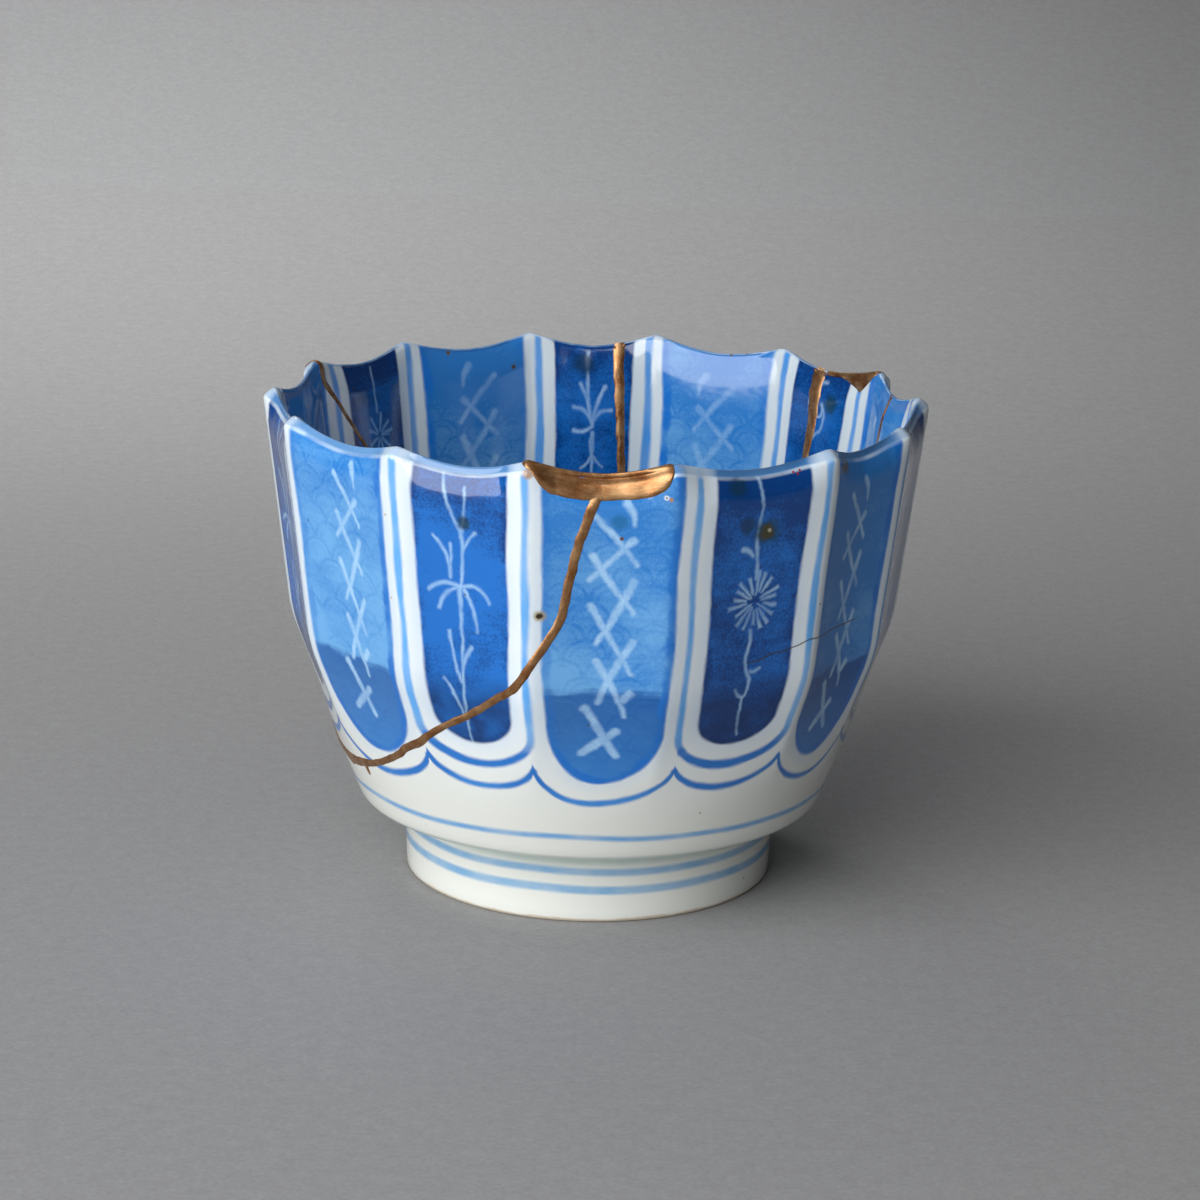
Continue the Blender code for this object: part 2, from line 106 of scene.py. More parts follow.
def carved(radius, height, angle, reach):  # where a point of the turned outline ends up in its flute
    soft = flutes["softness"]
    fromRidge = math.hypot(1 - abs(acrossFlute(round(angle, 5))), soft) - soft  # rounds the ridge itself
    hollow = 1 - (1 - fromRidge) ** 2
    radius -= flutes["depth"] * ramp(height, flutes["start"], flutes["full"]) * hollow
    height -= flutes["rimDip"] * ramp(height, flutes["rimDipStart"], cup["height"]) * hollow
    lean, full, end = cup["outerLean" if reach > 0 else "innerLean"]
    end += cup["leanStray"] * noise.noise(Vector((angle * 0.35, 0.0, 4.1 if reach > 0 else 8.6)))
    if 0 < abs(reach) < end:
        share = min(ramp(abs(reach), 0, full), (end - abs(reach)) / (end - full))
        radius -= math.copysign(lean * min(cup["leanFill"] * hollow, 1.0) * share, reach)
    turn = math.radians(angle)
    return Vector((radius * math.sin(turn), -radius * math.cos(turn), height))


def outlineCorners():  # (radius, height, fillet), from the floor's centre over the lip to the foot's recess
    floor = cup["recessHeight"] + cup["floorThickness"]
    shoulderRadius, shoulderHeight = cup["shoulder"]
    bellyRadius, bellyHeight = cup["bellyEdge"]
    lipInner = cup["lipRadius"] - cup["lipWall"]
    slope = (shoulderRadius - bellyRadius) / (shoulderHeight - bellyHeight)
    floorEdge = bellyRadius + slope * (floor - bellyHeight) - cup["bellyWall"]
    rimInner = cup["footRadius"] - cup["footTaper"] - cup["footRim"]
    return [
        (0.0, floor, 0),
        (floorEdge, floor, 0.0100),
        (shoulderRadius - cup["shoulderWall"], shoulderHeight, 0.0160),
        (lipInner, cup["height"] - cup["lipInnerDrop"], 0.0008),
        (mixed(cup["lipRadius"], lipInner, cup["lipCrest"]), cup["height"], 0.0008),
        (cup["lipRadius"], cup["height"] - cup["lipOuterDrop"], 0.0008),
        (shoulderRadius, shoulderHeight, 0.0160),
        (bellyRadius, bellyHeight, 0.0013),
        (cup["footRadius"], bellyHeight - cup["undercutRise"], 0.0008),
        (cup["footRadius"] - cup["footTaper"], 0.0, 0.0005),
        (rimInner, 0.0, 0.0005),
        (rimInner - cup["recessTaper"], cup["recessHeight"], 0.0015),
        (0.0, cup["recessHeight"] + cup["recessDome"], 0),
    ]


def turnedOutline():  # a chain of edges with rounded corners and evenly spaced points
    bm = bmesh.new()
    corners = outlineCorners()
    verts = [bm.verts.new((radius, 0.0, height)) for radius, height, _ in corners]
    for before, after in zip(verts, verts[1:]):
        bm.edges.new((before, after))
    places = [vert.co.copy() for vert in verts]
    for i, (radius, height, fillet) in enumerate(corners):
        if not fillet:
            continue
        back = places[i - 1] - places[i]
        ahead = places[i + 1] - places[i]
        half = back.angle(ahead) / 2
        reach = min(fillet / math.tan(half), 0.45 * back.length, 0.45 * ahead.length)
        arc = reach * math.tan(half) * (math.pi - 2 * half)
        bmesh.ops.bevel(bm, geom=[verts[i]], offset=reach, offset_type="OFFSET",
                        segments=max(3, math.ceil(arc / cup["arcStep"] / 2)), profile=0.5, affect="VERTICES",
                        material=-1)
    for edge in list(bm.edges):
        cuts = math.ceil(edge.calc_length() / cup["rowHeight"]) - 1
        if cuts > 0:
            bmesh.ops.subdivide_edges(bm, edges=[edge], cuts=cuts)
    return bm


def chainOf(bm):  # the outline's points in order, from the floor's centre to the recess
    chain = [max((vert for vert in bm.verts if vert.co.x < 1e-6), key=lambda vert: vert.co.z)]
    last = None
    while True:
        ahead = [edge for edge in chain[-1].link_edges if edge != last]
        if not ahead:
            return chain
        last = ahead[0]
        chain.append(last.other_vert(chain[-1]))


class Wall:  # the outline by its reach
    def __init__(self):
        bm = turnedOutline()
        self.points = [Vector((vert.co.x, vert.co.z)) for vert in chainOf(bm)]
        bm.free()
        crest = max(range(len(self.points)), key=lambda i: self.points[i].y)
        reaches = [0.0]
        for before, after in zip(self.points, self.points[1:]):
            reaches.append(reaches[-1] + (after - before).length)
        self.reaches = [reach - reaches[crest] for reach in reaches]
        belly = min(i for i in range(crest, len(self.points)) if self.points[i].y < cup["bellyEdge"][1])
        self.deepest = {1: self.reaches[belly], -1: self.reaches[1]}

    def at(self, reach):
        i = min(max(bisect.bisect_right(self.reaches, reach) - 1, 0), len(self.points) - 2)
        share = (reach - self.reaches[i]) / (self.reaches[i + 1] - self.reaches[i])
        return self.points[i].lerp(self.points[i + 1], share)

    def surface(self, angle, reach):
        return carved(*self.at(reach), angle, reach)

    def normal(self, angle, reach, step=0.0002):
        turn = math.degrees(step / cup["lipRadius"])
        roundCup = self.surface(angle + turn, reach) - self.surface(angle - turn, reach)
        downWall = self.surface(angle, reach + step) - self.surface(angle, reach - step)
        return downWall.cross(roundCup).normalized()

    def reachAt(self, angle, height, side):  # how far down the wall's face has this height
        near, far = 0.0, self.deepest[side]
        for _ in range(26):
            middle = (near + far) / 2
            if self.surface(angle, middle).z > height:
                near = middle
            else:
                far = middle
        return (near + far) / 2


wall = Wall()
print("outline:", len(wall.points), "points")


# Borders between the painted panels

borders = {  # how far each blue border strays from its ridge, in degrees, on each face of the wall
    1: (-0.3, 3.8, -1.0, 0.6, 0.8, -0.6, 0.9, -0.8, 0.5, -0.4, 0.7, -0.5, -1.7, 0.3),
    -1: (0.4, -0.5, 0.6, -0.4, 0.3, 3.9, -1.5, 1.1, -1.6, -0.1, -3.9, 0.5, -0.6, 0.3),
}


def borderAngle(index, side):
    return ridgeAngle(index) + borders[side][index % flutes["count"]]


@functools.cache
def panelCoordinate(angle, side):  # whole numbers at the borders, 0 at the one left of the front panel
    panel = math.floor((angle - flutes["turn"]) * flutes["count"] / 360 + 0.5)
    while borderAngle(panel + 1, side) < angle:
        panel += 1
    while borderAngle(panel, side) > angle:
        panel -= 1
    left = borderAngle(panel, side)
    return panel + (angle - left) / (borderAngle(panel + 1, side) - left)


# Node trees: a number or colour goes on the socket, and another node's socket is linked to it


class Board:
    def __init__(self, tree):
        self.tree = tree

    def feed(self, socket, source):
        if isinstance(source, Value):
            source = source.socket
        if isinstance(source, bpy.types.NodeSocket):
            self.tree.links.new(source, socket)
        elif source is not None:
            socket.default_value = source

    def node(self, kind, *sources, **settings):
        node = self.tree.nodes.new(kind)
        for name, value in settings.items():
            setattr(node, name, value)
        for socket, source in zip(node.inputs, sources):
            self.feed(socket, source)
        return node

    def math(self, operation, *sources, clamp=False):
        node = self.node("ShaderNodeMath", *sources, operation=operation, use_clamp=clamp)
        return Value(self, node.outputs[0])

    def low(self, a, b):
        return self.math("MINIMUM", a, b)

    def high(self, a, b):
        return self.math("MAXIMUM", a, b)

    def remap(self, *sources, way="LINEAR"):
        return Value(self, self.node("ShaderNodeMapRange", *sources, interpolation_type=way).outputs[0])

    def vec(self, operation, *sources, out=0):
        return Value(self, self.node("ShaderNodeVectorMath", *sources, operation=operation).outputs[out])

    def length(self, vector):
        return self.vec("LENGTH", vector, out=1)

    def grow(self, vector, factor):
        node = self.node("ShaderNodeVectorMath", vector, operation="SCALE")
        self.feed(node.inputs["Scale"], factor)
        return Value(self, node.outputs[0])

    def xyz(self, x=0.0, y=0.0, z=0.0):
        return self.node("ShaderNodeCombineXYZ", x, y, z).outputs[0]

    def parts(self, vector):
        return [Value(self, output) for output in self.node("ShaderNodeSeparateXYZ", vector).outputs]

    def colour(self, a, b, share):  # a mixed with b
        mix = self.node("ShaderNodeMix", share, data_type="RGBA")
        self.feed(mix.inputs[6], a)
        self.feed(mix.inputs[7], b)
        return mix.outputs[2]

    def noise(self, vector, scale, detail=2.0, out=0):
        node = self.node("ShaderNodeTexNoise", vector)
        node.inputs["Scale"].default_value = scale
        node.inputs["Detail"].default_value = detail
        return Value(self, node.outputs[out])

    def random(self, value, out=0):
        node = self.node("ShaderNodeTexWhiteNoise", None, value, noise_dimensions="1D")
        return Value(self, node.outputs[out])

    def group(self, tree, **sources):
        node = self.tree.nodes.new("ShaderNodeGroup")
        node.node_tree = tree
        for name, source in sources.items():
            self.feed(node.inputs[name], source)
        return {output.name: Value(self, output) for output in node.outputs}

    def place(self):  # in mm
        return self.grow(self.node("ShaderNodeTexCoord").outputs["Object"], 1000.0)

    def unwrapped(self, name):
        return self.parts(self.node("ShaderNodeUVMap", uv_map=name).outputs[0])

    def attribute(self, name, out="Fac"):
        return Value(self, self.node("ShaderNodeAttribute", attribute_name=name).outputs[out])

    def bump(self, relief, strength):  # the normal of a relief in mm
        node = self.node("ShaderNodeBump")
        node.inputs["Strength"].default_value = strength
        node.inputs["Distance"].default_value = 0.001
        self.feed(node.inputs["Height"], relief)
        return node.outputs[0]


class Value:  # a node's output, which adds nodes when it is reckoned with
    def __init__(self, board, socket):
        self.board = board
        self.socket = socket

    def __add__(self, other):
        return self.board.math("ADD", self, other)

    def __radd__(self, other):
        return self.board.math("ADD", other, self)

    def __sub__(self, other):
        return self.board.math("SUBTRACT", self, other)

    def __rsub__(self, other):
        return self.board.math("SUBTRACT", other, self)

    def __mul__(self, other):
        return self.board.math("MULTIPLY", self, other)

    def __truediv__(self, other):
        return self.board.math("DIVIDE", self, other)

    def __abs__(self):
        return self.board.math("ABSOLUTE", self)

    def clamped(self):
        return self.board.math("ADD", self, 0.0, clamp=True)

    def soft(self, start, full):  # 0 at start, 1 at full
        return self.board.remap(self, start, full, 0.0, 1.0, way="SMOOTHSTEP")

    def spread(self, fromLow, fromHigh, toLow, toHigh):
        return self.board.remap(self, fromLow, fromHigh, toLow, toHigh)

    def vary(self, low, high):  # over the usual range of a noise
        return self.spread(0.3, 0.7, low, high)


def newMaterial(name):
    material = bpy.data.materials.new(name)
    material.use_nodes = True
    board = Board(material.node_tree)
    return material, board, board.tree.nodes["Principled BSDF"].inputs


def newGroup(name, inputs, outputs):
    tree = bpy.data.node_groups.new(name, "ShaderNodeTree")
    for socket, kind in inputs.items():
        tree.interface.new_socket(socket, in_out="INPUT", socket_type="NodeSocket" + kind)
    for socket, kind in outputs.items():
        tree.interface.new_socket(socket, in_out="OUTPUT", socket_type="NodeSocket" + kind)
    board = Board(tree)
    given = {socket.name: Value(board, socket) for socket in tree.nodes.new("NodeGroupInput").outputs}
    return board, given, tree.nodes.new("NodeGroupOutput").inputs


def makeStroke():  # how far, in mm, a place is from a brush stroke or from those before it; below 0 on one
    board, given, result = newGroup(
        "brush stroke",
        {"Place": "Vector", "From": "Vector", "To": "Vector", "Bend": "Float", "Width": "Float",
         "Taper": "Float", "Before": "Float"},
        {"Distance": "Float"})
    run = board.vec("SUBTRACT", given["To"], given["From"])
    away = board.vec("SUBTRACT", given["Place"], given["From"])
    along = board.math("DIVIDE", board.vec("DOT_PRODUCT", away, run, out=1),
                       board.vec("DOT_PRODUCT", run, run, out=1), clamp=True)
    runX, runY, _ = board.parts(run)
    arch = along * (1.0 - along) * (given["Bend"] * 4.0)
    sideways = board.grow(board.xyz(runY * -1.0, runX), arch)
    nearest = board.vec("ADD", board.grow(run, along), sideways)
    distance = board.length(board.vec("SUBTRACT", away, nearest))
    width = given["Width"] * (1.0 - given["Taper"] * along)
    board.feed(result["Distance"], board.low(given["Before"], distance - width))
    return board.tree


def makeArch():  # how far inside a panel with a rounded lower end a place is, in mm
    board, given, result = newGroup(
        "round-ended panel",
        {"X": "Float", "Z": "Float", "Half": "Float", "Bottom": "Float", "Rise": "Float"},
        {"Inside": "Float"})
    acrossShare = abs(given["X"]) / given["Half"]
    below = board.low(given["Z"] - (given["Bottom"] + given["Rise"]), 0.0)
    downShare = below / given["Rise"]
    length = board.length(board.xyz(acrossShare, downShare))
    slope = board.length(board.xyz(acrossShare / given["Half"], downShare / given["Rise"]))
    inside = length * (1.0 - length) / board.high(slope, 0.0001)
    board.feed(result["Inside"], inside)
    return board.tree


strokeTree = makeStroke()
archTree = makeArch()


# Underglaze painting shared by every panel

paint = {
    "line": 0.47, "whiteLight": 1.75, "outline": 0.8, "whiteDark": 2.3,
    "lightBottom": 20.7, "lightRise": 7.0, "darkBottom": 24.9, "darkRise": 3.5, "hoopBottom": 22.3,
    "hoopRise": 4.3,
    "scallopLight": 18.0, "scallopDark": 19.4, "cusp": 22.4, "insideLift": 3.6, "washLine": 32.5,
    "hoopDab": (24.9, 0.85), "cuspDab": (22.2, 0.62), "lipEdge": 1.72, "footEdge": 21.5,
    "bellyLine": 13.1, "footLines": ((6.45, 0.46), (4.15, 0.52)), "scaleWidth": 4.6,
    "white": (0.74, 0.81, 0.85, 1), "bellyWhite": (0.765, 0.785, 0.735, 1), "pooledGlazeAndShade": (0.50, 0.60, 0.56, 1),
    "insideShadedWhite": (0.42, 0.50, 0.52, 1), "red": (0.30, 0.015, 0.03, 1), "speck": (0.05, 0.035, 0.02, 1),
    "shadow": (0.0, 0.0, 0.0, 1),
    "border": (0.10, 0.37, 0.80, 1), "outlineBlue": (0.008, 0.15, 0.56, 1), "hoopBlue": (0.02, 0.17, 0.55, 1),
    "light": (0.028, 0.20, 0.58, 1), "lightPale": (0.14, 0.385, 0.73, 1),
    "lightLow": (0.003, 0.088, 0.345, 1),
    "dark": (0.010, 0.145, 0.53, 1), "darkDeep": (0.001, 0.044, 0.21, 1), "darkLow": (0.0005, 0.022, 0.11, 1),
    "lip": (0.14, 0.30, 0.55, 1), "lipDeep": (0.03, 0.16, 0.42, 1), "lipLine": (0.66, 0.78, 0.88, 1),
    "stroke": (0.42, 0.66, 0.90, 1), "ring": (0.15, 0.37, 0.68, 1), "footRing": (0.21, 0.42, 0.66, 1),
    "foot": (0.50, 0.42, 0.31, 1), "footPale": (0.66, 0.61, 0.51, 1), "stain": (0.16, 0.11, 0.05, 1),
}
iron = (0.030, 0.024, 0.009, 1)
rust = (0.20, 0.085, 0.030, 1)
marks = [  # firing and age marks, and one painted glint: face, angle, height in mm, core and halo radius in mm, core and halo colour
    (1, 30.6, 51.1, 1.15, 2.2, (0.050, 0.045, 0.016, 1), (0.006, 0.045, 0.085, 1)),
    # a painted glint: a pale highlight on the glassy iron spot before it
    (1, 31.0, 51.3, 0.0, 0.34, iron, (0.40, 0.40, 0.30, 1)),
    (1, 26.6, 52.1, 0.0, 1.50, iron, (0.004, 0.035, 0.11, 1)),
    (1, -22.3, 52.0, 0.0, 1.15, iron, (0.008, 0.035, 0.055, 1)),
    (1, -8.8, 42.0, 0.50, 1.0, (0.035, 0.018, 0.010, 1), (0.34, 0.27, 0.10, 1)),
    (1, 4.7, 51.3, 0.24, 0.30, (0.12, 0.055, 0.030, 1), (0.12, 0.055, 0.030, 1)),
    (1, 4.3, 53.2, 0.0, 1.35, iron, (0.012, 0.14, 0.36, 1)),
    (1, 11.6, 56.2, 0.16, 0.42, (0.01, 0.03, 0.05, 1), (0.86, 0.88, 0.88, 1)),
    (1, 12.3, 56.0, 0.22, 0.34, (0.45, 0.20, 0.06, 1), (0.52, 0.27, 0.12, 1)),
    (1, 24.5, 56.6, 0.0, 1.60, iron, (0.004, 0.035, 0.085, 1)),
    (1, -10.6, 58.7, 0.0, 0.85, rust, (0.42, 0.24, 0.13, 1)),
    (1, 46.5, 57.6, 0.0, 1.40, rust, (0.13, 0.12, 0.09, 1)),
    (1, -36.8, 51.8, 0.12, 0.26, (0.50, 0.27, 0.09, 1), (0.55, 0.45, 0.30, 1)),
    (1, -37.0, 41.8, 0.10, 0.24, (0.50, 0.27, 0.09, 1), (0.55, 0.45, 0.30, 1)),
    (1, 7.4, 7.35, 0.20, 0.34, (0.035, 0.030, 0.012, 1), (0.22, 0.22, 0.14, 1)),
    (1, 25.0, 15.9, 0.10, 0.24, (0.22, 0.12, 0.05, 1), (0.62, 0.55, 0.42, 1)),
    (-1, -162.6, 55.7, 0.28, 0.55, (0.06, 0.035, 0.02, 1), (0.07, 0.10, 0.12, 1)),
    (-1, -148.6, 58.0, 0.22, 0.45, (0.10, 0.05, 0.02, 1), (0.12, 0.12, 0.10, 1)),
    (-1, 125.5, 54.5, 0.0, 1.60, iron, (0.004, 0.040, 0.060, 1)),
    (-1, -177.0, 56.0, 0.0, 2.00, iron, (0.003, 0.030, 0.085, 1)),
]
redFlecks = [(35.2, 57.75), (35.9, 57.55), (36.4, 57.9)]
hairline = {"angles": (29.2, 42.0, 60.5), "heights": (35.2, 37.2, 37.7), "colour": (0.030, 0.028, 0.026, 1)}


def makeUnderglaze():
    board, given, result = newGroup(
        "underglaze painting", {"Motif": "Float"}, {"Colour": "Color", "Bare": "Float", "Relief": "Float"})
    u, z, _ = board.unwrapped("paint")
    place = board.place()
    px, py, _ = board.parts(place)
    radius = board.length(board.xyz(px, py))
    reach = board.attribute("lipReach")
    inside = board.math("LESS_THAN", reach, 0.0)
    outside = 1.0 - inside

    # where on its panel a place lies, with the waver of a hand
    waver = board.parts(board.noise(place, 0.10, 0.0, out=1))
    fine = board.parts(board.noise(place, 0.55, 1.0, out=1))
    waverX = waver[0].spread(0.2, 0.8, -0.22, 0.22) + fine[0].spread(0.2, 0.8, -0.05, 0.05)
    waverZ = waver[1].spread(0.2, 0.8, -0.3, 0.3) + fine[1].spread(0.2, 0.8, -0.05, 0.05)
    panel = board.math("FLOOR", u)
    half = radius * (math.pi / flutes["count"])
    x = (u - panel - 0.5) * (half * 2.0) + waverX
    height = z + waverZ + inside * -paint["insideLift"]
    dark = board.math("MODULO", panel, 2.0)
    fromBorder = half - abs(x)
    cloud = board.noise(place, 0.11, 3.0)
    patches = board.noise(place, 0.35, 2.0)
    streaks = board.noise(board.xyz(u * 1.1, z * 1.1, inside), 1.0, 2.0)
    # the panel's wash depth, which carries painted light and shade, and its motif's strength
    depthAndShade, _, strength = board.parts(board.attribute("look", "Vector"))
    speckle = board.noise(place, 3.4, 3.0)

    def byPanel(light, deep):
        return light + dark * (deep - light)

    # fills, outlines, hoops and scallops
    fill = board.group(archTree, X=x, Z=height, Half=half - byPanel(paint["whiteLight"], paint["whiteDark"]),
                       Bottom=byPanel(paint["lightBottom"], paint["darkBottom"]),
                       Rise=byPanel(paint["lightRise"], paint["darkRise"]))["Inside"]
    fromDark = abs(x) + fromBorder * 2.0 * (1.0 - dark)
    hoop = board.group(archTree, X=fromDark, Z=height, Half=half, Bottom=paint["hoopBottom"],
                       Rise=paint["hoopRise"])["Inside"]
    acrossShare = board.low(abs(x) / half, 1.0)
    bow = 1.0 - board.math("SQRT", 1.0 - acrossShare * acrossShare * 0.96)
    scallopBottom = byPanel(paint["scallopLight"], paint["scallopDark"])
    belowScallop = height - (scallopBottom + (paint["cusp"] - scallopBottom) * (bow * 1.25))

    bleed = fine[2].vary(0.2, 0.36)  # how far the cobalt's edges run
    lineHalf = paint["line"] + waver[2].spread(0.2, 0.8, -0.14, 0.14)

    def line(distance, halfWidth):  # 1 on a painted line
        return (abs(distance) - halfWidth).soft(bleed, bleed * -1.0)

    aboveScallop = belowScallop.soft(-0.2, 0.2)
    filled = fill.soft(bleed * -1.0, bleed) * aboveScallop
    outlineEdge = fill - paint["outline"] - patches.vary(-0.25, 0.25)
    low = height.soft(27.5, 24.0)
    outline = outlineEdge.soft(0.35, -0.25) * (filled * (1.0 - dark))
    outline *= board.high(x.spread(-2.0, 2.0, 0.45, 0.95), low)
    hoopLine = line(hoop, lineHalf + low * 0.04) * aboveScallop
    cuspWidening = fromBorder.soft(1.4, 0.2) * 0.16
    scallopLine = line(belowScallop, lineHalf * 0.9 + cuspWidening)

    def dab(fromIt, dabHeight, size):  # where a loaded brush was set down
        away = board.xyz(fromIt, height - dabHeight)
        return board.length(away).soft(size, size * 0.3)

    leftOfDark = dark * board.math("LESS_THAN", x, 0.0)
    hoopDab = dab(fromBorder - 0.5, *paint["hoopDab"]) * leftOfDark
    dabs = board.high(dab(board.high(fromBorder, 0.0), *paint["cuspDab"]), hoopDab)

    # washes, with brush streaks and clouds in them
    washEdge = streaks.vary(-0.4, 0.4) + patches.vary(-0.5, 0.5)
    isLow = (height + washEdge).soft(paint["washLine"] + 0.7, paint["washLine"] - 0.7)
    paleness = cloud.spread(0.35, 0.65, -0.3, 0.3) + streaks.vary(-0.12, 0.12)
    paleness += height.spread(38.0, 58.0, 0.15, -0.4)
    paleness += speckle.vary(-0.16, 0.16)
    # panels facing the key light are made paler here as painted light
    paleness += depthAndShade.spread(0.0, 1.0, 0.78, 0.0)
    justAbove = height.soft(paint["washLine"] + 7.0, paint["washLine"]) * x.soft(1.0, -7.0)
    paleness += justAbove * 0.5

    def scales(shift):  # one half of the faint overlapping scales
        width = paint["scaleWidth"]
        across = (board.math("FRACT", x / width + shift) - 0.5) * width
        up = board.math("FRACT", height / width + shift) * width
        span = board.length(board.xyz(across, up))
        outer = abs(span - width * 0.47).soft(0.34, 0.05)
        inner = abs(span - width * 0.3).soft(0.3, 0.05)
        return board.high(outer, inner * 0.55)

    scaling = board.high(scales(0.0), scales(0.5)) * patches.spread(0.35, 0.65, 0.05, 0.36)
    paleness -= scaling
    lightWash = board.colour(paint["light"], paint["lightPale"], paleness.clamped())
    lowWash = board.colour(paint["lightLow"], paint["light"],
                           (paint["washLine"] - height).spread(1.0, 11.0, 0.0, 0.75))
    lowWash = board.colour(lowWash, paint["lightPale"], board.math("MULTIPLY", paleness, 0.16, clamp=True))
    lightWash = board.colour(lightWash, lowWash, isLow)
    depth = cloud.spread(0.35, 0.65, 0.4, -0.25) + streaks.vary(0.14, -0.14)
    depth += patches.vary(-0.2, 0.2) + height.soft(48.0, 60.0)
    depth -= 0.1
    # panels turned away from the light are made deeper here as painted shade
    depth += speckle.vary(-0.34, 0.34) + depthAndShade * 0.62
    poolEdge = fill.soft(1.3, 0.2) * board.high(patches.spread(0.35, 0.65, 0.1, 0.5), low)
    darkWash = board.colour(paint["dark"], paint["darkDeep"], (depth + poolEdge).clamped())
    darkLow = height.soft(paint["washLine"] + 2.5, paint["washLine"] - 3.0) * patches.vary(0.95, 0.35)
    darkWash = board.colour(darkWash, paint["darkLow"], darkLow)
    wash = board.colour(lightWash, darkWash, dark)
    # painted shade: the inside wall's washes are darkened, more on the panels turned away from the light
    wash = board.colour(wash, paint["shadow"], inside * depthAndShade.spread(0.3, 1.0, 0.05, 0.3))

    # motifs scratched through the wash, soft where the glaze has filled them
    motif = given["Motif"].soft(0.27, -0.26) * patches.spread(0.35, 0.65, 0.55, 1.0)
    motif *= speckle.vary(0.75, 1.0)
    motif *= strength * 0.9
    wash = board.colour(wash, paint["stroke"], motif)

    # the white body, bluer near the painting and greener below, and greyer inside the cup as painted shade
    white = board.colour(paint["bellyWhite"], paint["white"], height.soft(14.0, 30.0))
    blueHalo = fill.soft(-2.2, 0.0) * cloud.vary(0.05, 0.2)
    white = board.colour(white, paint["border"], blueHalo)
    # painted shade: the white is darkened on the inside wall
    white = board.colour(white, paint["insideShadedWhite"], inside * 0.35)
    colour = board.colour(white,
                          board.colour(paint["border"], paint["hoopBlue"], board.high(low, inside * 0.5)),
                          hoopLine * board.high(low, cloud.spread(0.35, 0.65, 0.8, 1.0)))
    colour = board.colour(colour, wash, filled)
    colour = board.colour(colour, paint["outlineBlue"], outline * patches.spread(0.35, 0.6, 0.5, 0.95))
    scallopColour = board.colour(paint["hoopBlue"], paint["border"], waver[0].spread(0.35, 0.75, 0.0, 0.55))
    colour = board.colour(colour, scallopColour, scallopLine)
    colour = board.colour(colour, paint["hoopBlue"], dabs * patches.spread(0.3, 0.6, 0.6, 1.0))

    # ring lines on the belly and the foot
    outsideFoot = board.math("GREATER_THAN", radius, paint["footEdge"])
    ringWaver = board.noise(place, 0.05, 1.0).vary(-0.3, 0.3)
    ringDepth = board.noise(place, 0.22, 3.0).spread(0.35, 0.65, 0.75, 1.0) * outsideFoot
    bellyLine = line(z + ringWaver - paint["bellyLine"], 0.36)
    colour = board.colour(colour, paint["ring"], bellyLine * ringDepth * outside)

    # glaze pooled in the corner above the foot, greener and darker there: partly the glaze's own tint, partly
    # painted shade under the belly's edge
    pooledGlazeAndShade = z.soft(6.9, 7.9) * z.soft(10.7, 9.7) * (outsideFoot * outside)
    # partly painted shade under the belly's overhang
    colour = board.colour(colour, paint["pooledGlazeAndShade"], pooledGlazeAndShade * patches.vary(0.75, 1.0))
    for footLine, halfWidth in paint["footLines"]:
        ring = line(z + ringWaver * 0.5 - footLine, halfWidth)
        colour = board.colour(colour, paint["footRing"], ring * ringDepth)

    # the lip: its own wash, whites that run over it at the ridges, and a thin light line at its outer edge
    onLip = reach.soft(-0.6, -0.15) * reach.soft(paint["lipEdge"], 1.5)
    # the lip's wash is deeper on panels turned away from the light, as painted shade
    lipTone = cloud.spread(0.35, 0.65, -0.1, 0.4) + depthAndShade * 0.55
    lipWash = board.colour(paint["lip"], paint["lipDeep"], lipTone.clamped())
    lipWash = board.colour(lipWash, paint["lipLine"], fromBorder.soft(2.8, 0.8) * 0.6)
    colour = board.colour(colour, lipWash, onLip * 0.88)
    edgeLine = abs(reach - paint["lipEdge"]).soft(0.34, 0.05) * cloud.spread(0.35, 0.6, 0.1, 0.7)
    crestLine = abs(reach + 0.25).soft(0.26, 0.05) * patches.spread(0.4, 0.7, 0.0, 0.5)
    colour = board.colour(colour, paint["lipLine"], board.high(edgeLine, crestLine))
    worn = abs(reach + 0.2).soft(0.7, 0.2) * board.noise(place, 0.9, 2.0).soft(0.66, 0.71)
    colour = board.colour(colour, paint["stain"], worn * 0.8)

    # firing and age marks with a painted glint, a fine crack and rare specks
    ragged = board.noise(place, 1.3, 3.0).spread(0.2, 0.8, 0.2, -0.2)

    def awayFrom(angle, markHeight, side):
        middle = wall.surface(angle, wall.reachAt(angle, markHeight / 1000, side)) * 1000
        return board.length(board.vec("SUBTRACT", place, tuple(middle)))

